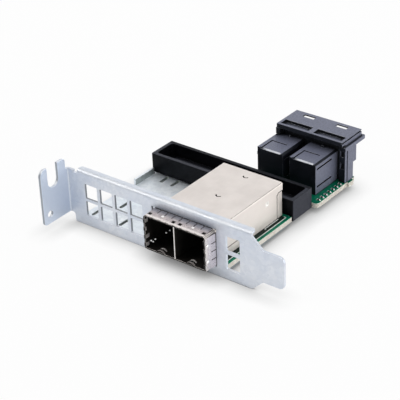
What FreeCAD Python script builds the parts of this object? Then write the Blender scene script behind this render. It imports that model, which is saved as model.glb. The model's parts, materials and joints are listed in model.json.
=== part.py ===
import FreeCAD, Part
import math
import os

from FreeCAD import Vector

# A two-port adapter on a low-profile slot bracket. Sizes are millimetres, measured in the
# bracket's own directions: X from the screw tab's outer face to the tongue, Y from the plate's
# outer face towards the rear of the board, Z up from the plate's lower edge.

# Sheet that the bracket and the tray are folded from
SHEET = 0.86
BEND_INSIDE = 0.45

# Bracket plate and tongue
BRACKET_LENGTH = 79.2
PLATE_HEIGHT = 18.42
PLATE_LEFT = 2.54
PLATE_CORNER = 0.6
NECK_FILLET = 0.8
FOLD_BOTTOM = 2.9
FOLD_TOP = 17.7
TONGUE_LENGTH = 7.1
TONGUE_WIDTH = 10.19
TONGUE_BOTTOM = 3.5
TONGUE_CORNER = 1.7
SHOULDER_RUN = 3.7
SHOULDER_FILLET = 1.2

# Stiffening flange along the plate's top, with a relief cut beside the fold
FLANGE_DEPTH = 2.45
FLANGE_LEFT = 4.5
FLANGE_CORNER = 1.0
RELIEF_LEFT = 3.1
RELIEF_DEPTH = 0.2

# Screw tab: open screw notch and locating hole
TAB_REACH = 11.43
TAB_CORNER = 2.0
TAB_LOWER_CORNER = 1.0
PRONG_CORNER = 1.0
PRONG_INNER_EDGE = 0.8
NOTCH_WIDTH = 4.42
NOTCH_REACH = 6.35
NOTCH_BOTTOM = 14.2
TAB_HOLE = 2.2
TAB_HOLE_REACH = 8.7
TAB_HOLE_HEIGHT = 5.9

# Vent windows on a grid over the plate
VENT_LEFT = 7.35
VENT_BOTTOM = 3.4
VENT_WIDTH = 4.75
VENT_HEIGHT = 4.95
VENT_BAR = 1.05
VENT_CROSS_BAR = 0.9
VENT_ROWS = 2
VENT_CORNER = 0.25

# Tray under the board
TRAY_BOTTOM = 1.04
TRAY_LEFT = 4.2
TRAY_LIP_BOTTOM = 0.3
TRAY_FLANGE_FACE = 5.86
TRAY_FLANGE_HEIGHT = 2.0
TRAY_FLANGE_FRONT = 24.5
TRAY_RELIEF = 1.1
TRAY_CORNER = 0.8
TRAY_SLOT_WIDTH = 1.1
TRAY_SLOT_LENGTH = 4.2
TRAY_SLOT_FRONTS = ((6.7, 2.9), (17.5, 2.9), (10.9, 10.9), (22.3, 10.9), (11.0, 30.2), (15.3, 30.2))

# Circuit board
BOARD_THICKNESS = 1.6
BOARD_FRONT_GAP = 0.5
BOARD_LEFT_MARGIN = 1.2
BOARD_RIGHT_STRIP = 2.95
BOARD_REAR_LEFT_MARGIN = 1.0
BOARD_REAR_RIGHT_MARGIN = 0.15
BOARD_REAR_MARGIN = 0.8
BOARD_SIDE_CORNER = 1.2
BOARD_CORNER = 0.5
BOARD_STUB_REACH = 0.75
BOARD_STUB_LENGTH = 2.7

# Cage round the two front ports
CAGE_SHEET = 0.3
CAGE_CENTRE = 44.7
CAGE_WIDTH = 21.9
CAGE_HEIGHT = 11.1
CAGE_NOSE = 4.5
CAGE_REAR = 33.2
CAGE_EDGE = 0.6
CAGE_FIT = 0.05
COVER_LIP = 3.0
COVER_LIP_DROP = 2.5
COVER_LIP_CHAMFER = 0.7
COVER_SEAM = 0.28
LEG_WIDTH = 0.9
LEG_DEPTH = 1.3
LEG_CLEARANCE = 0.1
LEG_FIRST = 4.0
LEG_PITCH = 10.0
LEG_COUNT = 3
TAB_SLIT_RADIUS = 1.0
TAB_SLIT_WIDTH = 0.42
TAB_SLIT_PLACES = (16.6, 30.0)
DIMPLE_RADIUS = 0.75
DIMPLE_DEPTH = 0.28
DIMPLE_PLACE = 25.3
DIMPLE_HEIGHT = 7.4
ARCH_WIDTH = 2.6
ARCH_HEIGHT = 0.7
ARCH_PLACE = 1.6
ARCH_DEPTH = 0.6

# Spring gasket strips round the nose, and the opening that they close in the plate
STRIP_SHEET = 0.15
STRIP_BULGE = 0.5
STRIP_FIT = 0.08
STRIP_RIM = 0.1
STRIP_FLAT = 1.0
STRIP_TIP = 0.6
STRIP_TIP_DROP = 0.12
FINGER_LENGTH = 2.0
FINGER_SLIT = 0.3
TOP_FINGERS = 8
SIDE_FINGERS = 4
RIM_SLOT_WIDTH = 1.2
RIM_SLOT_LENGTH = 1.0
RIM_SLOT_PLACE = 1.0
RIM_SLOT_INSET = 1.0
BUMP_RADIUS = 0.9
BUMP_HEIGHT = 0.35
TOP_BUMP_PLACE = 2.0
SIDE_BUMP_PLACE = 1.1

# Contacts: two card slots in each port, a row of contacts on both faces of each slot
CONTACT_COLUMNS = 9
CONTACT_PITCH = 0.75
CONTACT_WIDTH = 0.35
CONTACT_THICKNESS = 0.2
CONTACT_INSET = 0.4
CONTACT_LEG_FIRST = 5.2
CONTACT_LEG_PITCH = 1.6
CARD_SLOT_HEIGHT = 1.1
CARD_SLOT_END = 0.325
CARD_SLOT_DEPTH = 4.2
CARD_SLOT_SPACING = 3.8

# Front receptacle housings inside the cage
HOUSING_FRONT = 18.0
HOUSING_HEADROOM = 0.5
HOUSING_CLEARANCE = 0.2
HOUSING_REAR_GAP = 0.4
FLOOR_GAP = 0.3

# Moulded channel that clamps the board to the tray
CHANNEL_GAP = 0.5
CHANNEL_DEPTH = 10.2
CHANNEL_HEIGHT = 5.45
CHANNEL_WALL = 1.3
CHANNEL_FLOOR = 1.2
CHANNEL_LIFT = 0.6
CHANNEL_END_GAP = 0.15
CHANNEL_OVERHANG = 0.3
CHANNEL_INNER_CORNER = 0.8
CHANNEL_OUTER_CORNER = 0.4
CHANNEL_BOARD_GAP = 0.15
BOSS_DIAMETER = 4.6

# Screws through tray and board into the channel
SCREW_DIAMETER = 2.0
SCREW_HOLE_CLEARANCE = 0.2
SCREW_HEAD_DIAMETER = 3.8
SCREW_HEAD_HEIGHT = 0.8
SCREW_BITE = 0.7
SCREW_RECESS_DIAMETER = 1.4
SCREW_RECESS_DEPTH = 0.4
SCREW_PLACES = (14.0, 38.0, 51.0)

# Rear receptacle: wafer blocks
BLOCK_GAP = 4.3
BLOCK_WIDTH = 9.5
BLOCK_LENGTH = 12.25
BLOCK_HEIGHT = 10.55
BLOCK_FIRST_CENTRE = 40.5
BLOCK_SIDE_CHAMFER = 0.6
BLOCK_FRONT_CHAMFER = 0.45
BLOCK_CHAMFER_INSET = 0.9
SIDE_GROOVE = 0.55
SIDE_GROOVE_FRONT = 0.8
SIDE_GROOVE_REAR = 3.45
SIDE_GROOVE_LEVELS = (2.55, 8.6)
GROOVE = 0.45
GROOVE_INSET = 1.3
GROOVE_LENGTH = 6.0
GROOVE_RIGHT_INSET = 2.3
STUD_DIAMETER = 0.8
STUD_HEIGHT = 0.5
STUD_SHIFT = 0.0
STUD_INSET = 1.2
NUB_REACH = 0.5
NUB_SIZE = 1.0
NUB_INSET = 0.5
NUB_HEIGHT = 8.0
NOSE_SHIFT = 1.1
NOSE_WALL = 0.3
NOSE_LENGTH = 2.75
NOSE_FLOOR_GAP = 0.6
NOSE_TOP_GAP = 1.2

# Rear receptacle: shroud round both ports
PORT_PITCH = 12.0
SHROUD_SHIFT = 2.0
SHROUD_SIDE_WALL = 0.875
SHROUD_BODY_LENGTH = 5.35
SHROUD_FOOT_LENGTH = 3.65
SHROUD_FOOT_HEIGHT = 5.5
SHROUD_HEIGHT = 14.8
SHROUD_WALL = 1.1
SHROUD_PLATE = 1.1
SHROUD_PLATE_FRONT = 2.85
SHROUD_PLATE_REAR = 8.25
SHROUD_BROW = 0.3
SHROUD_WING_WIDTH = 2.3
SHROUD_WING_REACH = 1.05
PORT_WIDTH = 10.4
PORT_FLOOR = 1.4
LATCH_WIDTH = 9.6
LATCH_HEIGHT = 1.5
LATCH_WALL = 1.1
LATCH_SLOT_WIDTH = 10.2
LATCH_SLOT_LENGTH = 2.9
LATCH_SLOT_PLACE = 0.9
LATCH_SLOT_DEPTH = 1.0
LATCH_WINDOW_WIDTH = 4.1
LATCH_WINDOW_LENGTH = 1.6
LATCH_WINDOW_MARGIN = 1.1
LATCH_RECESS = 0.55
RAIL_REACH = 0.8
RAIL_HEIGHT = 1.3
RAIL_DROP = 1.9
RAIL_FRONT = 2.15
RAIL_REAR = 8.95
RAIL_CHEEK = 0.7
SIDE_RIB = 0.25
SIDE_RIB_PLACE = 0.1
SIDE_RIB_LENGTH = 2.9
EDGE_GROOVE_HEIGHT = 0.4
EDGE_GROOVE_DEPTH = 0.4
EDGE_GROOVE_DROP = 0.15
FRONT_HOLE_WIDTH = 1.3
FRONT_HOLE_HEIGHT = 2.0
FRONT_HOLE_LEVELS = (5.7, 9.8)
FRONT_HOLE_INSET = 1.1
FRONT_HOLE_DEPTH = 0.8
SHROUD_CLEARANCE = 0.1
PEG_DIAMETER = 1.3
PEG_LENGTH = 1.4
PEG_CLEARANCE = 0.1
PEG_INSET = 1.2

# Chip capacitors along the board's right edge
CHIP_LENGTH = 1.0
CHIP_WIDTH = 0.5
CHIP_HEIGHT = 0.4
CHIP_EDGE = 1.15
CHIP_FIRST = 2.5
CHIP_PITCH = 1.95
CHIP_COUNT = 7

# Levels and places worked out from the sizes above
tray_top = TRAY_BOTTOM + SHEET
board_top = tray_top + BOARD_THICKNESS
tongue_start = BRACKET_LENGTH - TONGUE_LENGTH
tongue_top = TONGUE_BOTTOM + TONGUE_WIDTH
flange_right = tongue_start - SHOULDER_RUN
bend_outside = SHEET + BEND_INSIDE
plate_flat_top = PLATE_HEIGHT - bend_outside
relief_bottom = plate_flat_top - RELIEF_DEPTH
tab_top = FOLD_BOTTOM + PLATE_HEIGHT

cage_left = CAGE_CENTRE - CAGE_WIDTH / 2
cage_right = CAGE_CENTRE + CAGE_WIDTH / 2
cage_top = board_top + CAGE_HEIGHT
cage_front = -CAGE_NOSE
floor_top = board_top + CAGE_SHEET
ceiling = cage_top - CAGE_SHEET
port_middle = (floor_top + ceiling) / 2
port_width = (CAGE_WIDTH - 3 * CAGE_SHEET) / 2
port_offset = (port_width + CAGE_SHEET) / 2
front_port_centres = (CAGE_CENTRE - port_offset, CAGE_CENTRE + port_offset)
opening_gap = STRIP_BULGE + STRIP_FIT
housing_rear = CAGE_REAR - CAGE_SHEET - HOUSING_REAR_GAP

channel_front = CAGE_REAR + CHANNEL_GAP
channel_rear = channel_front + CHANNEL_DEPTH
channel_left = TRAY_FLANGE_FACE - SHEET
flange_rear = channel_front - CHANNEL_END_GAP
channel_middle = (channel_front + channel_rear) / 2
channel_bottom = tray_top + CHANNEL_LIFT
channel_floor_top = board_top + CHANNEL_FLOOR
channel_top = board_top + CHANNEL_HEIGHT
board_left = cage_left - BOARD_LEFT_MARGIN
board_right = cage_right + BOARD_RIGHT_STRIP
board_front = SHEET + BOARD_FRONT_GAP
channel_right = board_right + CHANNEL_OVERHANG
notch_face = channel_right - CHANNEL_WALL - CHANNEL_BOARD_GAP

block_front = channel_rear + BLOCK_GAP
shroud_front = block_front + BLOCK_LENGTH
block_centres = (BLOCK_FIRST_CENTRE, BLOCK_FIRST_CENTRE + PORT_PITCH)
block_top = board_top + BLOCK_HEIGHT
rear_port_centres = tuple(centre + SHROUD_SHIFT for centre in block_centres)
shroud_centre = sum(rear_port_centres) / 2
shroud_width = PORT_PITCH + PORT_WIDTH + 2 * SHROUD_SIDE_WALL
shroud_left = shroud_centre - shroud_width / 2
shroud_right = shroud_centre + shroud_width / 2
shroud_top = board_top + SHROUD_HEIGHT
plate_bottom = shroud_top - SHROUD_PLATE
latch_floor = plate_bottom - LATCH_HEIGHT
port_bottom = board_top + PORT_FLOOR
port_top = latch_floor - LATCH_WALL
nose_bottom = port_bottom + NOSE_FLOOR_GAP
nose_top = port_top - NOSE_TOP_GAP
nose_middle = (nose_bottom + nose_top) / 2
card_slot_width = (CONTACT_COLUMNS - 1) * CONTACT_PITCH + CONTACT_WIDTH + 2 * CARD_SLOT_END
nose_width = card_slot_width + 2 * NOSE_WALL
body_rear = shroud_front + SHROUD_BODY_LENGTH
foot_rear = shroud_front + SHROUD_FOOT_LENGTH
plate_front = shroud_front - SHROUD_PLATE_FRONT
plate_rear = shroud_front + SHROUD_PLATE_REAR
wing_front = shroud_front - SHROUD_WING_REACH
rail_rear = shroud_front + RAIL_REAR
board_rear = foot_rear + BOARD_REAR_MARGIN
rear_board_right = shroud_right + BOARD_REAR_RIGHT_MARGIN
rear_board_left = block_centres[0] - BLOCK_WIDTH / 2 - BOARD_REAR_LEFT_MARGIN

# The model's origin is the middle of its bottom: the shift from the bracket's directions
to_origin = Vector(-BRACKET_LENGTH / 2, -(rail_rear - TAB_REACH) / 2, 0)

UNIT = {"x": Vector(1, 0, 0), "y": Vector(0, 1, 0), "z": Vector(0, 0, 1)}


def box(x_range, y_range, z_range):
    """Block between two values along each direction."""
    low = Vector(x_range[0], y_range[0], z_range[0])
    high = Vector(x_range[1], y_range[1], z_range[1])
    size = high - low
    return Part.makeBox(size.x, size.y, size.z, low)


def around(centre, width):
    """Range of a given width about a centre."""
    return (centre - width / 2, centre + width / 2)


def cylinder(diameter, length, base, axis="z"):
    """Cylinder along one direction, starting at its base."""
    return Part.makeCylinder(diameter / 2, length, base, UNIT[axis])


def in_plane(axis, u, v, level):
    """Point of an outline that is drawn across the given direction."""
    if axis == "x":
        return Vector(level, u, v)
    if axis == "y":
        return Vector(u, level, v)
    return Vector(u, v, level)


def rounded_corner(before, corner, after):
    """Start, middle and end of the arc that rounds one outline corner."""
    here = Vector(corner[0], corner[1], 0)
    back = (Vector(before[0], before[1], 0) - here).normalize()
    ahead = (Vector(after[0], after[1], 0) - here).normalize()
    half_angle = back.getAngle(ahead) / 2
    reach = corner[2] / math.tan(half_angle)
    middle_line = (back + ahead).normalize()
    middle_reach = corner[2] / math.sin(half_angle) - corner[2]
    return here + back * reach, here + middle_line * middle_reach, here + ahead * reach


def prism(corners, axis, low, high):
    """Solid with a flat outline of (u, v) or (u, v, radius) corners, between two levels of an axis."""
    edges = []
    runs = []
    for index, corner in enumerate(corners):
        if len(corner) == 2 or corner[2] == 0:
            point = in_plane(axis, corner[0], corner[1], low)
            runs.append((point, point))
            continue
        arc = rounded_corner(corners[index - 1], corner, corners[(index + 1) % len(corners)])
        start, middle, end = [in_plane(axis, point.x, point.y, low) for point in arc]
        edges.append(Part.Arc(start, middle, end).toShape())
        runs.append((start, end))
    for index, run in enumerate(runs):
        leave = runs[index - 1][1]
        if leave.distanceToPoint(run[0]) > Part.Precision.confusion():
            edges.append(Part.LineSegment(leave, run[0]).toShape())
    outline = Part.Wire(Part.__sortEdges__(edges))
    return Part.Face(outline).extrude(UNIT[axis] * (high - low))


def merged(shapes):
    """One solid out of shapes that touch or overlap."""
    whole = shapes[0]
    for shape in shapes[1:]:
        whole = whole.fuse(shape)
    return whole.removeSplitter()


def without(shape, tools):
    """Shape with all tools cut away."""
    return shape.cut(Part.makeCompound(tools)).removeSplitter()


# Bracket

def bracket_plate():
    """Flat plate with the neck to the tab, both shoulders and the tongue."""
    corners = [
        (PLATE_LEFT, 0, PLATE_CORNER),
        (flange_right, 0, SHOULDER_FILLET),
        (tongue_start, TONGUE_BOTTOM, SHOULDER_FILLET),
        (BRACKET_LENGTH, TONGUE_BOTTOM, TONGUE_CORNER),
        (BRACKET_LENGTH, tongue_top, TONGUE_CORNER),
        (tongue_start, tongue_top, SHOULDER_FILLET),
        (flange_right, plate_flat_top),
        (FLANGE_LEFT, plate_flat_top),
        (FLANGE_LEFT, relief_bottom),
        (RELIEF_LEFT, relief_bottom),
        (RELIEF_LEFT, FOLD_TOP),
        (bend_outside, FOLD_TOP),
        (bend_outside, FOLD_BOTTOM),
        (PLATE_LEFT, FOLD_BOTTOM, NECK_FILLET),
    ]
    return prism(corners, "y", 0, SHEET)


def bracket_flange():
    """Bend and flange along the plate's top."""
    corners = [
        (0, plate_flat_top),
        (0, PLATE_HEIGHT, bend_outside),
        (FLANGE_DEPTH, PLATE_HEIGHT),
        (FLANGE_DEPTH, PLATE_HEIGHT - SHEET),
        (SHEET, PLATE_HEIGHT - SHEET, BEND_INSIDE),
        (SHEET, plate_flat_top),
    ]
    plan = [
        (FLANGE_LEFT, 0),
        (flange_right, 0),
        (flange_right, FLANGE_DEPTH, FLANGE_CORNER),
        (FLANGE_LEFT, FLANGE_DEPTH, FLANGE_CORNER),
    ]
    folded = prism(corners, "x", FLANGE_LEFT, flange_right)
    return folded.common(prism(plan, "z", 0, PLATE_HEIGHT))


def bracket_fold():
    """Bend between the plate and the tab."""
    corners = [
        (bend_outside, 0),
        (SHEET, 0, BEND_INSIDE),
        (SHEET, -BEND_INSIDE),
        (0, -BEND_INSIDE),
        (0, SHEET, bend_outside),
        (bend_outside, SHEET),
    ]
    return prism(corners, "z", FOLD_BOTTOM, FOLD_TOP)


def bracket_tab():
    """Tab with its open screw notch and its locating hole."""
    corners = [
        (-BEND_INSIDE, FOLD_BOTTOM),
        (-TAB_REACH, FOLD_BOTTOM, TAB_LOWER_CORNER),
        (-TAB_REACH, tab_top, TAB_CORNER),
        (-PRONG_INNER_EDGE, tab_top, PRONG_CORNER),
        (-PRONG_INNER_EDGE, FOLD_TOP),
        (-BEND_INSIDE, FOLD_TOP),
    ]
    notch_side = NOTCH_WIDTH / 2
    notch_centre = NOTCH_BOTTOM + notch_side
    notch = box((0, SHEET), around(-NOTCH_REACH, NOTCH_WIDTH), (notch_centre, tab_top))
    notch_end = cylinder(NOTCH_WIDTH, SHEET, Vector(0, -NOTCH_REACH, notch_centre), "x")
    hole = cylinder(TAB_HOLE, SHEET, Vector(0, -TAB_HOLE_REACH, TAB_HOLE_HEIGHT), "x")
    return without(prism(corners, "x", 0, SHEET), [notch, notch_end, hole])


def vent_windows():
    """Windows on the plate's grid that clear the cage opening and the shoulders by a bar."""
    opening = (cage_left - opening_gap - VENT_BAR, cage_right + opening_gap + VENT_BAR)
    pitch = VENT_WIDTH + VENT_BAR
    columns = int((flange_right - VENT_LEFT) // pitch)
    windows = []
    for column in range(columns):
        left = VENT_LEFT + column * pitch
        right = left + VENT_WIDTH
        if left < opening[1] and right > opening[0]:
            continue
        for row in range(VENT_ROWS):
            bottom = VENT_BOTTOM + row * (VENT_HEIGHT + VENT_CROSS_BAR)
            top = bottom + VENT_HEIGHT
            corners = [(left, bottom), (right, bottom), (right, top), (left, top)]
            rounded = [(u, v, VENT_CORNER) for u, v in corners]
            windows.append(prism(rounded, "y", 0, SHEET))
    return windows


def slot_bracket():
    opening = box(
        (cage_left - opening_gap, cage_right + opening_gap),
        (0, SHEET),
        (board_top - opening_gap, cage_top + opening_gap),
    )
    sheet = merged([bracket_plate(), bracket_flange(), bracket_fold(), bracket_tab()])
    return without(sheet, vent_windows() + [opening])


# Tray

def tray_slot(place, front):
    """Slot with round ends, along Y."""
    end = TRAY_SLOT_WIDTH / 2
    left, right = around(place, TRAY_SLOT_WIDTH)
    rear = front + TRAY_SLOT_LENGTH
    corners = [(left, front, end), (right, front, end), (right, rear, end), (left, rear, end)]
    return prism(corners, "z", TRAY_BOTTOM, tray_top)


def base_tray():
    """Sheet with a weld lip on the plate, an upturned left flange and slots."""
    flange_outside = TRAY_FLANGE_FACE - SHEET
    step = TRAY_FLANGE_FRONT - TRAY_RELIEF
    right = board_right
    clear_of_leg = notch_face - CHANNEL_BOARD_GAP
    plan = [
        (TRAY_LEFT, SHEET),
        (right, SHEET),
        (right, CAGE_REAR, TRAY_CORNER),
        (clear_of_leg, CAGE_REAR),
        (clear_of_leg, channel_rear, TRAY_CORNER),
        (flange_outside, channel_rear, TRAY_CORNER),
        (flange_outside, step),
        (TRAY_LEFT, step, TRAY_CORNER),
    ]
    sheet = prism(plan, "z", TRAY_BOTTOM, tray_top)
    lip = box((TRAY_LEFT, right), (SHEET, 2 * SHEET), (TRAY_LIP_BOTTOM, tray_top))
    side = [
        (TRAY_FLANGE_FACE + BEND_INSIDE, TRAY_BOTTOM),
        (flange_outside, TRAY_BOTTOM, bend_outside),
        (flange_outside, tray_top + TRAY_FLANGE_HEIGHT),
        (TRAY_FLANGE_FACE, tray_top + TRAY_FLANGE_HEIGHT),
        (TRAY_FLANGE_FACE, tray_top),
        (TRAY_FLANGE_FACE + BEND_INSIDE, tray_top),
    ]
    corner_strip = box(
        (flange_outside, TRAY_FLANGE_FACE + BEND_INSIDE),
        (TRAY_FLANGE_FRONT, flange_rear),
        (TRAY_BOTTOM, tray_top),
    )
    flange = prism(side, "y", TRAY_FLANGE_FRONT, flange_rear)
    folded = merged([without(sheet, [corner_strip]), lip, flange])
    slots = [tray_slot(place, front) for place, front in TRAY_SLOT_FRONTS]
    return without(folded, slots + screw_holes(TRAY_BOTTOM, tray_top))


# Screws and the holes that they pass through

def screw_holes(low, high):
    """Clearance holes for the screws between two levels."""
    diameter = SCREW_DIAMETER + SCREW_HOLE_CLEARANCE
    return [cylinder(diameter, high - low, Vector(place, channel_middle, low)) for place in SCREW_PLACES]


def channel_screws():
    """Pan-head screws from below, one solid each."""
    screws = []
    for place in SCREW_PLACES:
        head_bottom = TRAY_BOTTOM - SCREW_HEAD_HEIGHT
        base = Vector(place, channel_middle, head_bottom)
        top = board_top + SCREW_BITE
        head = cylinder(SCREW_HEAD_DIAMETER, SCREW_HEAD_HEIGHT, base)
        shank = cylinder(SCREW_DIAMETER, top - head_bottom, base)
        recess = cylinder(SCREW_RECESS_DIAMETER, SCREW_RECESS_DEPTH, base)
        screws.append(without(merged([head, shank]), [recess]))
    return Part.makeCompound(screws)


# Board

def board_outline():
    """Plan of the board, notched round the channel's end wall, with a break-off stub at its edge."""
    notch_front = channel_front - CHANNEL_BOARD_GAP
    notch_rear = channel_rear + CHANNEL_BOARD_GAP
    stub = (shroud_front, shroud_front + BOARD_STUB_LENGTH)
    stub_face = rear_board_right + BOARD_STUB_REACH
    return [
        (board_left, board_front, BOARD_CORNER),
        (board_right, board_front, BOARD_CORNER),
        (board_right, notch_front),
        (notch_face, notch_front),
        (notch_face, notch_rear),
        (rear_board_right, notch_rear, BOARD_SIDE_CORNER),
        (rear_board_right, stub[0]),
        (stub_face, stub[0]),
        (stub_face, stub[1]),
        (rear_board_right, stub[1]),
        (rear_board_right, board_rear, BOARD_CORNER),
        (rear_board_left, board_rear, BOARD_CORNER),
        (rear_board_left, channel_rear),
        (board_left, channel_rear),
    ]


def circuit_board():
    holes = screw_holes(tray_top, board_top) + cage_legs(LEG_CLEARANCE) + shroud_pegs(PEG_CLEARANCE)
    return without(prism(board_outline(), "z", tray_top, board_top), holes)


# Cage

def cage_legs(clearance):
    """Legs of the cage's sides, which press into the board."""
    legs = []
    for wall in (cage_left, cage_right - CAGE_SHEET):
        for number in range(LEG_COUNT):
            middle = LEG_FIRST + number * LEG_PITCH
            x_range = (wall - clearance, wall + CAGE_SHEET + clearance)
            y_range = around(middle, LEG_WIDTH + 2 * clearance)
            legs.append(box(x_range, y_range, (board_top - LEG_DEPTH - clearance, board_top)))
    return legs


def cover_lip_outline(gap):
    """Side view of the rear cover's lip, drawn back from the shell's cut-out by a gap."""
    front = CAGE_REAR - COVER_LIP + gap
    top = cage_top - COVER_LIP_DROP - gap
    return [
        (front, board_top),
        (CAGE_REAR, board_top),
        (CAGE_REAR, top),
        (front + COVER_LIP_CHAMFER, top),
        (front, top - COVER_LIP_CHAMFER),
    ]


def half_ring(place):
    """Crescent slit beside a bent-over tab of the divider."""
    centre = Vector(CAGE_CENTRE, place, ceiling)
    outer = cylinder(2 * TAB_SLIT_RADIUS, CAGE_SHEET, centre)
    inner = cylinder(2 * (TAB_SLIT_RADIUS - TAB_SLIT_WIDTH), CAGE_SHEET, centre)
    front_half = box(
        around(CAGE_CENTRE, 2 * TAB_SLIT_RADIUS),
        (place - TAB_SLIT_RADIUS, place),
        (ceiling, cage_top),
    )
    return outer.cut(inner).common(front_half)


def side_dimples():
    """Shallow round dimples pressed into both sides."""
    stand_off = DIMPLE_RADIUS - DIMPLE_DEPTH
    height = board_top + DIMPLE_HEIGHT
    faces = (cage_left - stand_off, cage_right + stand_off)
    return [Part.makeSphere(DIMPLE_RADIUS, Vector(face, DIMPLE_PLACE, height)) for face in faces]


def rim_slots(low, high):
    """Slots near the nose's front rim, close to both ends of each port."""
    slots = []
    reach = port_width / 2 - RIM_SLOT_INSET
    front = cage_front + RIM_SLOT_PLACE
    for centre in front_port_centres:
        for side in (-reach, reach):
            x_range = around(centre + side, RIM_SLOT_WIDTH)
            slots.append(box(x_range, (front, front + RIM_SLOT_LENGTH), (low, high)))
    return slots


def cage_shell():
    """Top and both sides in one folded sheet, cut back at the rear for the cover's lips."""
    inside = CAGE_EDGE - CAGE_SHEET
    section = [
        (cage_left, board_top),
        (cage_left, cage_top, CAGE_EDGE),
        (cage_right, cage_top, CAGE_EDGE),
        (cage_right, board_top),
        (cage_right - CAGE_SHEET, board_top),
        (cage_right - CAGE_SHEET, ceiling, inside),
        (cage_left + CAGE_SHEET, ceiling, inside),
        (cage_left + CAGE_SHEET, board_top),
    ]
    folded = prism(section, "y", cage_front, CAGE_REAR)
    lips = prism(cover_lip_outline(0), "x", cage_left, cage_right)
    slits = [half_ring(place) for place in TAB_SLIT_PLACES]
    cut = without(folded, [lips] + slits + side_dimples() + rim_slots(ceiling, cage_top))
    return merged([cut] + cage_legs(0))


def cage_rear_cover():
    """Rear panel with a lip round each side, flush with the shell."""
    lip_front = CAGE_REAR - COVER_LIP + COVER_SEAM
    lip_top = cage_top - COVER_LIP_DROP - COVER_SEAM
    inside = CAGE_EDGE - CAGE_SHEET
    plan = [
        (cage_left, lip_front),
        (cage_left + CAGE_SHEET, lip_front),
        (cage_left + CAGE_SHEET, CAGE_REAR - CAGE_SHEET, inside),
        (cage_right - CAGE_SHEET, CAGE_REAR - CAGE_SHEET, inside),
        (cage_right - CAGE_SHEET, lip_front),
        (cage_right, lip_front),
        (cage_right, CAGE_REAR, CAGE_EDGE),
        (cage_left, CAGE_REAR, CAGE_EDGE),
    ]
    lipped = prism(plan, "z", board_top, lip_top)
    trimmed = lipped.common(prism(cover_lip_outline(COVER_SEAM), "x", cage_left, cage_right))
    left = cage_left + CAGE_SHEET + CAGE_FIT
    right = cage_right - CAGE_SHEET - CAGE_FIT
    top = ceiling - CAGE_FIT
    panel = [
        (left, lip_top - CAGE_EDGE),
        (right, lip_top - CAGE_EDGE),
        (right, top, CAGE_EDGE),
        (left, top, CAGE_EDGE),
    ]
    return merged([trimmed, prism(panel, "y", CAGE_REAR - CAGE_SHEET, CAGE_REAR)])


def floor_arch(centre):
    """Stamped low arch that bridges a slot in the floor of one port."""
    y_range = around(cage_front + ARCH_PLACE, ARCH_DEPTH)
    radius = ((ARCH_WIDTH / 2) ** 2 + ARCH_HEIGHT ** 2) / (2 * ARCH_HEIGHT)
    base = Vector(centre, y_range[0], floor_top + ARCH_HEIGHT - radius)
    outer = cylinder(2 * radius, ARCH_DEPTH, base, "y")
    inner = cylinder(2 * (radius - CAGE_SHEET), ARCH_DEPTH, base, "y")
    above = box(around(centre, ARCH_WIDTH), y_range, (floor_top, floor_top + ARCH_HEIGHT))
    return outer.cut(inner).common(above)


def cage_floor():
    """Bottom sheet of the nose and of both ports, up to the receptacle housings."""
    sheet = box(
        (cage_left + CAGE_SHEET, cage_right - CAGE_SHEET),
        (cage_front, HOUSING_FRONT - FLOOR_GAP),
        (board_top, floor_top),
    )
    return merged([sheet] + [floor_arch(centre) for centre in front_port_centres])


def cage_divider():
    """Wall between the two ports, standing on the floor and then on the board."""
    x_range = around(CAGE_CENTRE, CAGE_SHEET)
    front = box(x_range, (cage_front, HOUSING_FRONT), (floor_top, ceiling))
    rear = box(x_range, (HOUSING_FRONT - FLOOR_GAP, housing_rear), (board_top, ceiling))
    return merged([front, rear])


# Spring gasket strips round the nose

def strip_profile():
    """Section of a strip: (distance along Y, height off the nose) corners."""
    bend = -FINGER_LENGTH
    rim = cage_front + STRIP_RIM
    flat = cage_front + STRIP_FLAT
    crest = STRIP_BULGE - STRIP_SHEET
    tip = crest - STRIP_TIP_DROP
    under = [(rim, 0), (flat, 0), (bend, crest / 2), (0, crest), (STRIP_TIP, tip)]
    over = [(y, height + STRIP_SHEET) for y, height in under]
    return under + over[::-1]


def finger_slits(low, high, count):
    """Ranges of the slits that part a strip's free edge into fingers."""
    pitch = (high - low) / count
    return [around(low + pitch * number, FINGER_SLIT) for number in range(1, count)]


def bump(place, normal):
    """Round contact bump that stands off a strip's flat part."""
    centre = place + normal * (BUMP_HEIGHT - BUMP_RADIUS)
    return Part.makeSphere(BUMP_RADIUS, centre)


def strip_across(level, direction, is_top):
    """Strip on the nose's top or bottom, with one bump for each port."""
    low, high = cage_left + CAGE_EDGE, cage_right - CAGE_EDGE
    corners = [(y, level + direction * height) for y, height in strip_profile()]
    strip = prism(corners, "x", low, high)
    reach = (level, level + direction * (STRIP_BULGE + BUMP_HEIGHT))
    z_range = (min(reach), max(reach))
    y_range = (-FINGER_LENGTH, STRIP_TIP)
    slits = [box(slit, y_range, z_range) for slit in finger_slits(low, high, TOP_FINGERS)]
    if is_top:
        slits += rim_slots(z_range[0], z_range[1])
    outside = box((low, high), (cage_front, STRIP_TIP), z_range)
    bump_y = cage_front + TOP_BUMP_PLACE
    skin = level + direction * STRIP_SHEET
    bumps = [bump(Vector(centre, bump_y, skin), UNIT["z"] * direction) for centre in front_port_centres]
    return merged([without(strip, slits)] + [shape.common(outside) for shape in bumps])


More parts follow.
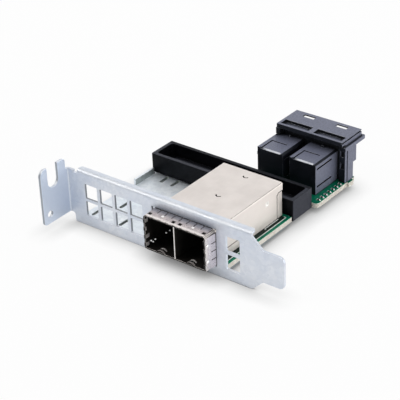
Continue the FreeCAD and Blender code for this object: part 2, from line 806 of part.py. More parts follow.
def strip_beside(level, direction):
    """Strip on the nose's left or right side, with two bumps."""
    low, high = board_top, cage_top - CAGE_EDGE
    corners = [(level + direction * height, y) for y, height in strip_profile()]
    strip = prism(corners, "z", low, high)
    reach = (level, level + direction * (STRIP_BULGE + BUMP_HEIGHT))
    x_range = (min(reach), max(reach))
    y_range = (-FINGER_LENGTH, STRIP_TIP)
    slits = [box(x_range, y_range, slit) for slit in finger_slits(low, high, SIDE_FINGERS)]
    outside = box(x_range, (cage_front, STRIP_TIP), (low, high))
    bump_y = cage_front + SIDE_BUMP_PLACE
    skin = level + direction * STRIP_SHEET
    pitch = (high - low) / SIDE_FINGERS
    heights = (low + pitch, high - pitch)
    bumps = [bump(Vector(skin, bump_y, height), UNIT["x"] * direction) for height in heights]
    return merged([without(strip, slits)] + [shape.common(outside) for shape in bumps])


# Receptacles

def contact_rows(centre, mouth, inward, middle):
    """Contacts of one port: beams on both faces of each card slot, turned down to the board."""
    rows = []
    for level in around(middle, CARD_SLOT_SPACING):
        bottom, top = around(level, CARD_SLOT_HEIGHT)
        rows += [bottom, top - CONTACT_THICKNESS]
    first = centre - CONTACT_PITCH * (CONTACT_COLUMNS - 1) / 2
    contacts = []
    for row, bottom in enumerate(rows):
        start = mouth + inward * CONTACT_INSET
        leg = mouth + inward * (CONTACT_LEG_FIRST + row * CONTACT_LEG_PITCH)
        leg_end = leg + inward * CONTACT_THICKNESS
        for column in range(CONTACT_COLUMNS):
            x_range = around(first + column * CONTACT_PITCH, CONTACT_WIDTH)
            beam = box(x_range, sorted((start, leg_end)), (bottom, bottom + CONTACT_THICKNESS))
            post = box(x_range, sorted((leg, leg_end)), (board_top, bottom + CONTACT_THICKNESS))
            contacts.append(merged([beam, post]))
    return contacts


def card_slots(centre, mouth, inward, middle):
    """Slots for the plug's two cards, open at the mouth."""
    y_range = sorted((mouth, mouth + inward * CARD_SLOT_DEPTH))
    x_range = around(centre, card_slot_width)
    levels = around(middle, CARD_SLOT_SPACING)
    return [box(x_range, y_range, around(level, CARD_SLOT_HEIGHT)) for level in levels]


def port_housing(centre):
    """Moulded receptacle at the back of one front port, with its contacts."""
    body = box(
        around(centre, port_width - 2 * HOUSING_CLEARANCE),
        (HOUSING_FRONT, housing_rear),
        (board_top, ceiling - HOUSING_HEADROOM),
    )
    contacts = contact_rows(centre, HOUSING_FRONT, 1, port_middle)
    housing = without(body, card_slots(centre, HOUSING_FRONT, 1, port_middle) + contacts)
    return housing, Part.makeCompound(contacts)


def block_body(centre):
    """Outside of one wafer block, with its bevels, grooves, top stud and side nub."""
    left, right = around(centre, BLOCK_WIDTH)
    section = [
        (left, board_top),
        (right, board_top),
        (right, block_top - BLOCK_SIDE_CHAMFER),
        (right - BLOCK_SIDE_CHAMFER, block_top),
        (left, block_top),
    ]
    body = prism(section, "y", block_front, shroud_front)
    bevel = [
        (block_front, block_top - BLOCK_FRONT_CHAMFER),
        (block_front + BLOCK_FRONT_CHAMFER, block_top),
        (block_front, block_top),
    ]
    side_y = (block_front + SIDE_GROOVE_FRONT, shroud_front - SIDE_GROOVE_REAR)
    side_x = (right - SIDE_GROOVE, right)
    side_levels = [around(board_top + level, SIDE_GROOVE) for level in SIDE_GROOVE_LEVELS]
    side_grooves = [box(side_x, side_y, side_z) for side_z in side_levels]
    groove_z = (block_top - GROOVE, block_top)
    groove_left = left + GROOVE_INSET
    groove_end = block_front + GROOVE_LENGTH
    groove_right = right - GROOVE_RIGHT_INSET
    along = box((groove_left, groove_left + GROOVE), (block_front, groove_end), groove_z)
    across = box((groove_left, groove_right), (groove_end - GROOVE, groove_end), groove_z)
    bevelled = prism(bevel, "x", left + BLOCK_CHAMFER_INSET, right - BLOCK_CHAMFER_INSET)
    nub_front = block_front + NUB_INSET
    nub_z = around(board_top + NUB_HEIGHT, NUB_SIZE)
    nub = box((left - NUB_REACH, left), (nub_front, nub_front + NUB_SIZE), nub_z)
    stud_base = Vector(centre + STUD_SHIFT, shroud_front - STUD_INSET, block_top)
    stud = cylinder(STUD_DIAMETER, STUD_HEIGHT, stud_base)
    return merged([without(body, [bevelled, along, across] + side_grooves), nub, stud])


def nose_box(centre, clearance):
    """Part of a wafer block that reaches through the shroud's front wall into its port."""
    return box(
        around(centre + NOSE_SHIFT, nose_width + 2 * clearance),
        (shroud_front, shroud_front + NOSE_LENGTH),
        (nose_bottom - clearance, nose_top + clearance),
    )


def wafer_block(centre):
    """One wafer block with its nose, and the contacts in it."""
    mouth = shroud_front + NOSE_LENGTH
    whole = merged([block_body(centre), nose_box(centre, 0)])
    contacts = contact_rows(centre + NOSE_SHIFT, mouth, -1, nose_middle)
    slots = card_slots(centre + NOSE_SHIFT, mouth, -1, nose_middle)
    return without(whole, slots + contacts), Part.makeCompound(contacts)


def shroud_pegs(clearance):
    """Locating pegs below the shroud's outer walls."""
    places = (shroud_left + PEG_INSET, shroud_right - PEG_INSET)
    middle = shroud_front + SHROUD_FOOT_LENGTH / 2
    length = PEG_LENGTH + clearance
    diameter = PEG_DIAMETER + 2 * clearance
    return [cylinder(diameter, length, Vector(place, middle, board_top - length)) for place in places]


def shroud_outside():
    """Body, top plate with its thick brow, right wing, side rails with their cheeks, side ribs and pegs."""
    x_range = (shroud_left, shroud_right)
    rail_z = (shroud_top - RAIL_DROP - RAIL_HEIGHT, shroud_top - RAIL_DROP)
    rail_y = (shroud_front - RAIL_FRONT, rail_rear)
    rib_y = (shroud_front + SIDE_RIB_PLACE, shroud_front + SIDE_RIB_PLACE + SIDE_RIB_LENGTH)
    rib_z = (board_top, rail_z[0])
    cheek_y = (shroud_front, plate_rear)
    cheek_z = (rail_z[0], plate_bottom)
    upper_z = (board_top + SHROUD_FOOT_HEIGHT, plate_bottom)
    brow_z = (plate_bottom - SHROUD_BROW, plate_bottom)
    wing_x = (shroud_right - SHROUD_WING_WIDTH, shroud_right)
    rest_x = (shroud_left - RAIL_REACH, shroud_left + RAIL_CHEEK)
    rest_z = (block_top + SHROUD_CLEARANCE, rail_z[0])
    shapes = [
        box(x_range, (shroud_front, foot_rear), (board_top, plate_bottom)),
        box(x_range, (shroud_front, body_rear), upper_z),
        box(x_range, (plate_front, plate_rear), (plate_bottom, shroud_top)),
        box(x_range, (plate_front, shroud_front), brow_z),
        box(wing_x, (wing_front, shroud_front), (board_top, plate_bottom)),
        box(rest_x, (rail_y[0], shroud_front), rest_z),
    ]
    for face, outward in ((shroud_left, -1), (shroud_right, 1)):
        shapes.append(box(sorted((face, face + outward * RAIL_REACH)), rail_y, rail_z))
        shapes.append(box(sorted((face, face - outward * RAIL_CHEEK)), cheek_y, cheek_z))
        shapes.append(box(sorted((face, face - outward * RAIL_CHEEK)), rail_y, rail_z))
        shapes.append(box(sorted((face, face + outward * SIDE_RIB)), rib_y, rib_z))
    return merged(shapes + shroud_pegs(0))


def receptacle_shroud():
    """Two-port shroud, open to the rear, with latch slots and windows, front holes and an edge groove."""
    tools = []
    cavity_y = (shroud_front + SHROUD_WALL, plate_rear)
    slot_front = plate_front + LATCH_SLOT_PLACE
    slot_y = (slot_front, slot_front + LATCH_SLOT_LENGTH)
    slot_z = (shroud_top - LATCH_SLOT_DEPTH, shroud_top)
    recess_y = (body_rear, plate_rear)
    recess_z = (plate_bottom, plate_bottom + LATCH_RECESS)
    window_rear = plate_rear - LATCH_WINDOW_MARGIN
    window_y = (window_rear - LATCH_WINDOW_LENGTH, window_rear)
    for block, centre in zip(block_centres, rear_port_centres):
        tools.append(box(around(centre, PORT_WIDTH), cavity_y, (port_bottom, port_top)))
        tools.append(box(around(centre, LATCH_WIDTH), cavity_y, (latch_floor, plate_bottom)))
        tools.append(box(around(centre, LATCH_WIDTH), recess_y, recess_z))
        tools.append(box(around(centre, LATCH_SLOT_WIDTH), slot_y, slot_z))
        tools.append(box(around(centre, LATCH_WINDOW_WIDTH), window_y, (plate_bottom, shroud_top)))
        tools.append(nose_box(block, SHROUD_CLEARANCE))
    hole_x = around(shroud_right - FRONT_HOLE_INSET, FRONT_HOLE_WIDTH)
    hole_y = (wing_front, wing_front + FRONT_HOLE_DEPTH)
    for level in FRONT_HOLE_LEVELS:
        tools.append(box(hole_x, hole_y, around(board_top + level, FRONT_HOLE_HEIGHT)))
    groove_top = shroud_top - EDGE_GROOVE_DROP
    groove_x = (shroud_right - EDGE_GROOVE_DEPTH, shroud_right)
    tools.append(box(groove_x, (plate_front, plate_rear), (groove_top - EDGE_GROOVE_HEIGHT, groove_top)))
    return without(shroud_outside(), tools)


# Channel and chips

def clamp_channel():
    """Open-topped channel: on the board, down to the tray at its bosses, round the board at its end."""
    plan = [
        (channel_left, channel_front),
        (channel_right, channel_front),
        (channel_right, channel_rear),
        (channel_left, channel_rear),
    ]
    hollow = [
        (channel_left + CHANNEL_WALL, channel_front + CHANNEL_WALL),
        (channel_right - CHANNEL_WALL, channel_front + CHANNEL_WALL),
        (channel_right - CHANNEL_WALL, channel_rear - CHANNEL_WALL),
        (channel_left + CHANNEL_WALL, channel_rear - CHANNEL_WALL),
    ]
    outer = prism([(u, v, CHANNEL_OUTER_CORNER) for u, v in plan], "z", tray_top, channel_top)
    inner = prism([(u, v, CHANNEL_INNER_CORNER) for u, v in hollow], "z", channel_floor_top, channel_top)
    y_range = (channel_front, channel_rear)
    board_space = (board_left - CHANNEL_BOARD_GAP, notch_face + CHANNEL_BOARD_GAP)
    under_left = box((channel_left, board_space[0]), y_range, (tray_top, channel_bottom))
    over_board = box(board_space, y_range, (tray_top, board_top))
    bosses = []
    bores = []
    for place in SCREW_PLACES:
        base = Vector(place, channel_middle, tray_top)
        bores.append(cylinder(SCREW_DIAMETER, board_top + SCREW_BITE - tray_top, base))
        if place < board_left:
            bosses.append(cylinder(BOSS_DIAMETER, CHANNEL_LIFT, base))
    moulded = merged([without(outer, [inner, under_left, over_board])] + bosses)
    return without(moulded, bores)


def chip_capacitors():
    """Row of chips across the board's right edge, one solid each."""
    middle = rear_board_right - CHIP_EDGE
    chips = []
    for number in range(CHIP_COUNT):
        y_range = around(channel_rear + CHIP_FIRST + number * CHIP_PITCH, CHIP_WIDTH)
        chips.append(box(around(middle, CHIP_LENGTH), y_range, (board_top, board_top + CHIP_HEIGHT)))
    return Part.makeCompound(chips)


def all_nodes():
    """Every sub-part by name."""
    nodes = {
        "slot_bracket": slot_bracket(),
        "base_tray": base_tray(),
        "circuit_board": circuit_board(),
        "clamp_channel": clamp_channel(),
        "channel_screws": channel_screws(),
        "cage_shell": cage_shell(),
        "cage_rear_cover": cage_rear_cover(),
        "cage_floor": cage_floor(),
        "cage_divider": cage_divider(),
        "gasket_strip_top": strip_across(cage_top, 1, True),
        "gasket_strip_bottom": strip_across(board_top, -1, False),
        "gasket_strip_left": strip_beside(cage_left, -1),
        "gasket_strip_right": strip_beside(cage_right, 1),
        "receptacle_shroud": receptacle_shroud(),
        "chip_capacitors": chip_capacitors(),
    }
    for side, front_centre, rear_centre in zip(("left", "right"), front_port_centres, block_centres):
        nodes["port_housing_" + side], nodes["port_contacts_" + side] = port_housing(front_centre)
        nodes["wafer_block_" + side], nodes["wafer_contacts_" + side] = wafer_block(rear_centre)
    return nodes


os.makedirs("parts", exist_ok=True)
for name, shape in all_nodes().items():
    shape.translate(to_origin)
    shape.exportStep(os.path.join("parts", name + ".step"))
    print(name, len(shape.Solids), shape.isValid(), round(shape.Volume, 2))
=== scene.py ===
import json
import math

import bmesh
import bpy
from mathutils import Matrix, Vector

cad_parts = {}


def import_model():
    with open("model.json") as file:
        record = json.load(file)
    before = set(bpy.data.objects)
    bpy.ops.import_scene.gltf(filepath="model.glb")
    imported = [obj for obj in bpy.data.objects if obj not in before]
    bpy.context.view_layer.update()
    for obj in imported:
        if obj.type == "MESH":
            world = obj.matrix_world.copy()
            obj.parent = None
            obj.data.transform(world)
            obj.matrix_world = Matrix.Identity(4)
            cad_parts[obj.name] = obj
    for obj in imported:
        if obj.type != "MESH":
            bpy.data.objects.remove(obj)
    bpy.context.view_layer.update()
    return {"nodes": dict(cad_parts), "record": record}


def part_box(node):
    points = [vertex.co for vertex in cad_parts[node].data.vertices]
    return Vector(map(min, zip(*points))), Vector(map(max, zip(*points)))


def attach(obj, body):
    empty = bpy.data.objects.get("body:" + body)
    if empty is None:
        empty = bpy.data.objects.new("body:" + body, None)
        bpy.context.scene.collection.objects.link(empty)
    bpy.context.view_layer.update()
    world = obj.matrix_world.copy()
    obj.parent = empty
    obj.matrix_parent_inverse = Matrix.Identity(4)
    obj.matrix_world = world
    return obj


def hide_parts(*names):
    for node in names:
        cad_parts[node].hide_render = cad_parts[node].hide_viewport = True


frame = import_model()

# Sizes are millimetres in the model's frame, and MM turns them into metres
MM = 0.001

# Directions of the part
RIGHT = (1, 0, 0)
LEFT = (-1, 0, 0)
FRONT = (0, -1, 0)
UP = (0, 0, 1)

# Camera: where it stands, how it is turned in degrees, and its lens
EYE = (224.108, -292.625, 218.525)
AZIMUTH = 38.8902
ELEVATION = 29.9997
ROLL = -2.3356
LENS = 127.386
SENSOR = 36.0

# Floor: its reach in metres, its colour and glow, and the soft shadow under the part
FLOOR_REACH = 3.0
FLOOR_COLOUR = (0.9, 0.9, 0.9, 1.0)
FLOOR_GLOW = 0.92
SHADOW_REACH = 7.0
SHADOW_POWER = 0.8
SHADOW_SAMPLES = 16

# White sweep round the floor, and the heights between which it fades to the light of the room
SWEEP_COLOUR = (1.0, 1.0, 1.0, 1.0)
SWEEP_RISE = (0.08, 0.3)
ROOM_LIGHT = 0.22

# Lamps: direction from the part, distance and size in metres, and brightness beside white
LAMPS = {
    "back_left": ((-0.544, 0.674, 0.55), 1.1, 1.2, 0.66),
    "overhead": ((0.15, 0.15, 1.0), 1.2, 0.9, 2.5),
    "right": ((0.85, 0.45, 0.3), 1.1, 0.8, 1.9),
    "glint": ((-0.54, -0.5, 0.67), 1.0, 0.32, 6.0),
    "side_glint": ((0.958, -0.244, 0.10), 1.0, 0.14, 9.0),
}

# Rounding of the sharp edges of each piece
ROUNDING = {
    "slot_bracket": 0.1,
    "base_tray": 0.1,
    "circuit_board": 0.05,
    "clamp_channel": 0.16,
    "receptacle_shroud": 0.1,
    "wafer_block_left": 0.07,
    "wafer_block_right": 0.07,
    "cage_shell": 0.05,
    "cage_rear_cover": 0.05,
    "cage_floor": 0.05,
    "cage_divider": 0.05,
    "port_housing_left": 0.08,
    "port_housing_right": 0.08,
}

# Angles of edges that are rounded or shade sharp, of faces that count as one, and of too narrow corners
SHARP_ANGLE = math.radians(40)
SMOOTH_ANGLE = math.radians(35)
FLAT_ANGLE = math.radians(0.5)
NARROW_ANGLE = math.radians(6)

# Distance at which points count as one, and the least cosine at the mitre of a bent strip
WELD = 0.0005
MITRE_LIMIT = 0.3

# Bracket and tray: their sheet, and where the sides of their windows and slots show raw steel, with painted
# shade in the bracket's windows and painted light in the tray's slots
BRACKET_SHEET = 0.86
CUT_SKIN = 0.12
WINDOW_END = 6.0
WINDOW_RISE = 3.6
WINDOW_DROP = 6.0
TRAY_RIM = 2.5

# Other tones: middle of the tray's painted shade, the bracket's tab with painted light and a dull cut edge,
# painted highlight on the bend along its top, and painted shade in the corner above the nose
TRAY_MIDDLE = (0.0, 1.0)
TAB_REACH = 2.0
TAB_FADE = 0.5
TAB_CUT_FADE = 0.1
BEND_FACE = (0, -0.64, 0.77)
CORNER_REACH = 1.0
CORNER_SOFT = 0.4
CORNER_SHADE = 0.75

# Cage: its sheet, how far it stands out of the bracket, and its mouth, front edges and arches
CAGE_SHEET = 0.3
CAGE_NOSE = 4.5
MOUTH_DEPTH = 0.2
EDGE_DEPTH = 0.15
ARCH_EDGE = 0.15

# Painted shade in the slots in the cage's rim: margin at both ends, run behind the front, and drop below the
# top
SLOT_MARGIN = 0.4
SLOT_RUN = (0.9, 2.2)
SLOT_DROP = (0.36, 0.03)
SLOT_SOFT = 0.015

# Right side of the cage: the seam low on it, and its painted light from the plate to the rear
SEAM_RUN = (5.4, 17.0)
SEAM_RISE = 2.45
SEAM_WIDTH = 0.26
SIDE_LIGHT = (0.15, 0.65)

# Dimples in both sides of the cage: distance from the rear, height above the board, and half width
DIMPLE_BACK = 7.9
DIMPLE_RISE = 7.4
DIMPLE_REACH = 0.75

# Printed lines: width, height, distance of the outer one from the cage, its ends, and its turn at the rear
PRINT_WIDTH = 0.22
PRINT_RISE = 0.02
PRINT_GAP = 1.7
PRINT_FRONT = 1.0
PRINT_END = 0.8
PRINT_TURN = 0.65

# Inner printed line: distance from the cage, and run before the outer line's rear end
PRINT_INNER_GAP = 0.32
PRINT_INNER_RUN = (2.1, 9.0)

# Painted shade: dark strip of the board between the cage and the outer printed line
PRINT_SHADE_GAP = 0.15
PRINT_SHADE_SOFT = 0.1

# Chip parts: count, half width along the row, ceramic body, tin ends and pads
CHIP_COUNT = 7
CHIP_HALF = 0.25
CHIP_BODY_HALF = 0.24
CHIP_BODY_DROP = 0.02
CHIP_BODY_ROUNDING = 0.03
CHIP_END = 0.26
CHIP_END_ROUNDING = 0.05
CHIP_PAD = 0.27
CHIP_PAD_HEIGHTS = (-0.02, 0.04)
CHIP_PAD_ROUNDING = 0.015

# Drops of solder at the chip parts' ends, which are domes on a short skirt
SOLDER_RADIUS = 0.24
SOLDER_RISE = 0.24
SOLDER_SKIRT = 0.02
SOLDER_STEPS = 5
SOLDER_SIDES = 16

# Hooks of the gasket strips over the cage's front edge: where they start, width, drop, run back, sheet
HOOK_WIDTH = 1.5
HOOK_DROP = 0.24
HOOK_START = 0.7
HOOK_SHEET = 0.12
TOP_HOOKS = 8
TOP_HOOK_RUN = 0.9
SIDE_HOOK_DROP = 0.42
SIDE_HOOK_WIDTH = 1.2
SIDE_HOOK_RUNS = (1.4, 1.6, 0.5, 1.3)

# Arched hooks that stand on the cage's floor: width, rise, depth and steps of the arch
FLOOR_HOOK_WIDTH = 2.8
FLOOR_HOOK_RISE = 0.55
FLOOR_HOOK_DEPTH = 0.7
FLOOR_HOOK_STEPS = 10

# Gasket strips: how metallic they are, where their painted highlight on the folds ends, and where painted
# shade darkens them towards the plate
GASKET_METAL = 0.55
FOLD_RUN = (0.7, 1.4)
SHADE_RUN = (1.6, 4.0)

# Painted shade in the side strips' slits, widening towards the plate: run, half width from start to end, and
# soft edge
WEDGE_RUN = 1.7
WEDGE_HALF = (-0.2, 0.42)
WEDGE_SOFT = 0.05

# Painted highlight on the domes of the top and side strips: rise off the cage, reach behind its front, room
# beside, fade and polish
DOME_RISE = 0.36
DOME_REACH = 2.6
SIDE_DOME_RISE = 0.24
SIDE_DOME_REACH = 1.9
DOME_CLEAR = 1.0
DOME_FADE = 0.1
DOME_POLISH = 0.2

# Small lances bent out of the left port's wall: middle behind the cage's front, height above the board
LANCES = ((2.13, 1.59), (2.97, 0.82), (4.0, 1.08), (8.98, 0.75), (10.6, 0.75))
LANCE_FACE = (0.42, -0.87, 0.25)
LANCE_ROOT = 0.3
LANCE_LENGTH = 0.4
LANCE_WIDTH = 0.4
LANCE_SHEET = 0.1

# Lug on the channel that closes the gap at the end of the tray's flange
LUG_REACH = 0.2
LUG_INSET = 0.1
LUG_ROUNDING = 0.03

# Black plastics: depth of the grain, and from where along X the faces towards +X get dust and painted sheen
PLASTIC_GRAIN = 0.012
DUST_AND_SHEEN_FROM = (10.0, 12.0)

# Rear wall of the channel: thickness, soft edge, and share of dust and painted sheen on its top
CHANNEL_WALL = 1.3
WALL_FADE = 0.2
WALL_DUST_AND_SHEEN = 0.3

# Rubbed front bevels of the wafer blocks' lids, with a painted highlight: fade from the left side, and end
# before the right
LID_FACE = (0, -1, 1)
LID_FADE = (1.4, 4.5)
LID_END = 0.6
LID_SOFT = 0.1

# Masks: where most of a noise's values lie, cosines between which an edge turns, and samples
NOISE_RANGE = (0.3, 0.7)
EDGE_TURN = (0.995, 0.85)
EDGE_SAMPLES = 6
RECESS_SAMPLES = 8

# Sockets of the Mix node that hold its factor and its two colours, and its result
MIX_INPUTS = (0, 6, 7)
MIX_RESULT = 2

# Colours of the zinc plate; a pair is the two ends of a range
BRACKET_ZINC = ((0.69, 0.74, 0.83), (0.81, 0.84, 0.89))
BRACKET_SHEARED = (0.88, 0.89, 0.91)
# Raw steel in the bracket's windows, darkened as painted shade
BRACKET_CUT_SHADE = (0.33, 0.35, 0.38)
TRAY_ZINC = ((0.82, 0.89, 0.95), (0.93, 0.97, 1.0))
TRAY_SHEARED = (0.30, 0.33, 0.36)
# Raw steel in the tray's slots, lightened as painted light
TRAY_CUT_LIGHT = (0.70, 0.76, 0.70)
# Painted shade on the tray's faces towards +X
TRAY_SHADE = ((0.46, 0.51, 0.51), (0.25, 0.275, 0.28))
ZINC_SPANGLE = (0.57, 0.62, 0.71)
ZINC_GRAIN = (0.88, 0.90, 0.93)
# Painted shade in the zinc plate's slits and recesses
ZINC_RECESS_SHADE = (0.16, 0.17, 0.19)
# Painted bluish light on the tab's side towards +X
TAB_PAINTED_LIGHT = (0.74, 0.83, 0.98)
TAB_CUT = (0.36, 0.39, 0.44)
# Painted highlight on the bend along the top
BEND_HIGHLIGHT = (0.97, 0.98, 1.0)
# Painted shade in the corner above the nose
CORNER_PAINTED_SHADE = (0.12, 0.15, 0.20)

# Colours of the cage's nickel plate
NICKEL = ((0.75, 0.695, 0.66), (0.83, 0.775, 0.74))
NICKEL_STREAK = (0.87, 0.83, 0.80)
# Painted light on the cage's right side
NICKEL_SIDE_LIGHT = (0.97, 0.90, 0.84)
NICKEL_SHEARED = (0.86, 0.82, 0.78)
# Painted shade in the nickel's slits and recesses
NICKEL_RECESS_SHADE = (0.03, 0.02, 0.015)
# Painted shade in the ports, the rim's slots and on the mouth's front edges
NICKEL_PAINTED_SHADE = ((0.012, 0.011, 0.010), (0.03, 0.026, 0.023))
# Painted highlight on the divider's front edge and the arches' crowns
NICKEL_HIGHLIGHT = (1.0, 0.96, 0.93)
NICKEL_SEAM = (0.10, 0.06, 0.045)
# Painted highlight on the dimples
NICKEL_DIMPLE_HIGHLIGHT = (1.0, 0.97, 0.94)

# Colours of the gasket strips
GASKET = ((0.50, 0.44, 0.45), (0.62, 0.55, 0.55))
# Painted light on the strips' faces towards +X
GASKET_RIGHT_LIGHT = (0.80, 0.74, 0.78)
# Painted shade on the strips towards the plate
GASKET_SHADE = (0.20, 0.205, 0.24)
GASKET_RUB = (0.86, 0.81, 0.80)
# Painted highlight on the folds
GASKET_FOLD_HIGHLIGHT = (0.98, 0.91, 0.87)
# Painted highlight on the domes
GASKET_DOME_HIGHLIGHT = (1.0, 0.98, 0.97)
# Painted shade in the slits and on faces that turn inward
GASKET_SLIT_SHADE = (0.004, 0.003, 0.003)

# Colours of the black plastics, and their cool sheen
CHANNEL_BLACK = ((0.002, 0.0022, 0.003), (0.005, 0.0053, 0.007))
# Scuffs, also a painted highlight along the edges
CHANNEL_SCUFF_AND_HIGHLIGHT = (0.11, 0.11, 0.125)
# Dust and painted sheen on tops and sides
CHANNEL_DUST_AND_SHEEN = (0.058, 0.061, 0.078)
RECEPTACLE_BLACK = ((0.003, 0.0034, 0.006), (0.007, 0.008, 0.013))
# Scuffs, also a painted highlight along the edges
RECEPTACLE_SCUFF_AND_HIGHLIGHT = (0.31, 0.325, 0.40)
# Dust and painted sheen on tops and sides
RECEPTACLE_DUST_AND_SHEEN = (0.205, 0.218, 0.298)
# Rubbed bevels with a painted highlight
LID_RUB_AND_HIGHLIGHT = (0.78, 0.80, 0.86)
# Painted shade in grooves and recesses
PLASTIC_RECESS_SHADE = (0.001, 0.001, 0.0015)
PLASTIC_SHEEN = (0.80, 0.88, 1.0, 1.0)

# Colours of the board, and the brick pattern whose joints are its copper tracks
BOARD_MASK = ((0.0, 0.105, 0.058), (0.002, 0.165, 0.092))
BOARD_TRACK = (0.004, 0.24, 0.14)
BOARD_SHADE = (0.0, 0.010, 0.006)
BOARD_LAYERS = ((0.62, 0.52, 0.46), (0.82, 0.83, 0.75))
BOARD_RIM = (0.30, 0.72, 0.52)
TRACKS = {"Scale": 1.0, "Mortar Size": 0.09, "Mortar Smooth": 0.2, "Brick Width": 7.0, "Row Height": 0.55}

# Colours of the small parts
GOLD = ((0.86, 0.58, 0.22), (0.95, 0.76, 0.42))
TIN = ((0.82, 0.83, 0.84), (0.94, 0.94, 0.93))
CERAMIC = ((0.035, 0.026, 0.02), (0.075, 0.055, 0.04))
CERAMIC_EDGE = (0.16, 0.13, 0.10)
SCREW = ((0.50, 0.51, 0.53), (0.66, 0.67, 0.70))
SCREW_EDGE = (0.84, 0.85, 0.87)
INK = ((0.60, 0.72, 0.66), (0.88, 0.90, 0.88))


def node_box(node):
    """Lowest and highest corner of a CAD node, in millimetres."""
    low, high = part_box(node)
    return low / MM, high / MM


# Node trees

class Nodes:
    """Node tree with a short call for the kinds of node that every tree uses."""

    def __init__(self, tree):
        self.tree = tree

    def node(self, kind, inputs, **settings):
        """Node of a kind, with its settings and with its inputs fed."""
        made = self.tree.nodes.new("ShaderNode" + kind)
        for name, value in settings.items():
            setattr(made, name, value)
        for key, value in inputs.items():
            self.feed(made.inputs[key], value)
        return made

    def feed(self, socket, value):
        """Links a socket to another, or sets its value."""
        if isinstance(value, bpy.types.NodeSocket):
            self.tree.links.new(value, socket)
        else:
            socket.default_value = value

    def math(self, operation, first, second):
        """Result of an operation on two values."""
        return self.node("Math", {0: first, 1: second}, operation=operation).outputs["Value"]

    def both(self, first, second):
        """Mask of what lies in both of two masks."""
        return self.math("MULTIPLY", first, second)

    def either(self, first, second):
        """Mask of what lies in one of two masks."""
        return self.math("MAXIMUM", first, second)

    def steps(self, value, low, high, to_low=0.0, to_high=1.0):
        """Smooth step of a value from one range to another."""
        inputs = {"Value": value, "From Min": low, "From Max": high, "To Min": to_low, "To Max": to_high}
        return self.node("MapRange", inputs, interpolation_type="SMOOTHSTEP").outputs["Result"]

    def inverse(self, mask):
        """Mask of what lies outside a mask."""
        return self.steps(mask, 0.0, 1.0, 1.0, 0.0)


class Look(Nodes):
    """Material with a short call for each pattern and mask that its tree uses."""

    def __init__(self, name, **constants):
        self.material = bpy.data.materials.new(name)
        self.material.use_nodes = True
        super().__init__(self.material.node_tree)
        self.shader = self.tree.nodes["Principled BSDF"]
        for socket, value in constants.items():
            self.shader.inputs[socket.replace("_", " ")].default_value = value

    def place(self, stretch=(1, 1, 1)):
        """Place on the piece in millimetres, stretched by a factor along each direction."""
        scale = [factor / MM for factor in stretch]
        where = self.node("TexCoord", {}).outputs["Object"]
        return self.node("Mapping", {"Vector": where, "Scale": scale}).outputs["Vector"]

    def place_part(self, direction):
        """Place on the piece along X, Y or Z, in millimetres."""
        return self.node("SeparateXYZ", {"Vector": self.place()}).outputs[direction]

    def normal_part(self, direction):
        """Part of the surface's own direction along X, Y or Z."""
        normal = self.node("TexCoord", {}).outputs["Normal"]
        return self.node("SeparateXYZ", {"Vector": normal}).outputs[direction]

    def squareness(self, direction):
        """How squarely the surface faces along X, Y or Z, one way or the other."""
        return self.math("ABSOLUTE", self.normal_part(direction), 0.0)

    def cosine(self, first, second):
        """Cosine of the angle between two directions."""
        return self.node("VectorMath", {0: first, 1: second}, operation="DOT_PRODUCT").outputs["Value"]

    def noise(self, where, scale, detail=3.0, roughness=0.55):
        """Cloudy pattern; scale is in clouds a millimetre."""
        inputs = {"Vector": where, "Scale": scale, "Detail": detail, "Roughness": roughness}
        return self.node("TexNoise", inputs).outputs["Fac"]

    def cells(self, where, scale):
        """Random value for each cell of a pattern."""
        colour = self.node("TexVoronoi", {"Vector": where, "Scale": scale}).outputs["Color"]
        return self.node("SeparateColor", {"Color": colour}).outputs["Red"]

    def spread(self, noise, to_low=0.0, to_high=1.0):
        """Noise spread over a range."""
        return self.steps(noise, *NOISE_RANGE, to_low, to_high)

    def weighed(self, first, second, share):
        """Sum of two values, with a share of the first and the rest of the second."""
        rest = self.math("MULTIPLY", second, 1 - share)
        return self.math("ADD", self.math("MULTIPLY", first, share), rest)

    def mix(self, factor, first, second):
        """Colour between two colours."""
        made = self.node("Mix", {}, data_type="RGBA")
        for number, value in zip(MIX_INPUTS, (factor, first, second)):
            self.feed(made.inputs[number], (*value, 1.0) if isinstance(value, tuple) else value)
        return made.outputs[MIX_RESULT]

    def edges(self, width):
        """Mask that is 1 along sharp edges."""
        rounded = self.node("Bevel", {"Radius": width * MM}, samples=EDGE_SAMPLES).outputs["Normal"]
        plain = self.node("NewGeometry", {}).outputs["True Normal"]
        return self.steps(self.cosine(rounded, plain), *EDGE_TURN)

    def recess(self, reach, start=0.7, full=0.35):
        """Mask that is 1 in slits and holes narrower than the reach."""
        clear = self.node("AmbientOcclusion", {"Distance": reach * MM}, samples=RECESS_SAMPLES)
        return self.steps(clear.outputs["AO"], start, full)

    def within(self, low, high, soft=0.04):
        """Mask that is 1 between two corners, in millimetres."""
        inside = 1.0
        for direction, start, end in zip("XYZ", low, high):
            along = self.place_part(direction)
            for edge, step in ((start, soft), (end, -soft)):
                inside = self.both(self.steps(along, edge - step, edge + step), inside)
        return inside

    def facing(self, direction, start=0.6, full=0.95, share=1.0):
        """Mask that rises to a share on surfaces that face a direction; start and full are cosines."""
        normal = self.node("TexCoord", {}).outputs["Normal"]
        along = self.cosine(normal, Vector(direction).normalized())
        return self.steps(along, start, full, 0.0, share)

    def finish(self, colour, roughness, height, depth):
        """Colour, roughness and bump of the shader; depth is the bump's height in millimetres."""
        self.feed(self.shader.inputs["Base Color"], colour)
        self.feed(self.shader.inputs["Roughness"], roughness)
        bump = self.node("Bump", {"Height": height, "Distance": depth * MM, "Strength": 1.0})
        self.feed(self.shader.inputs["Normal"], bump.outputs["Normal"])
        return self.material


# Zinc plate of the bracket and the tray

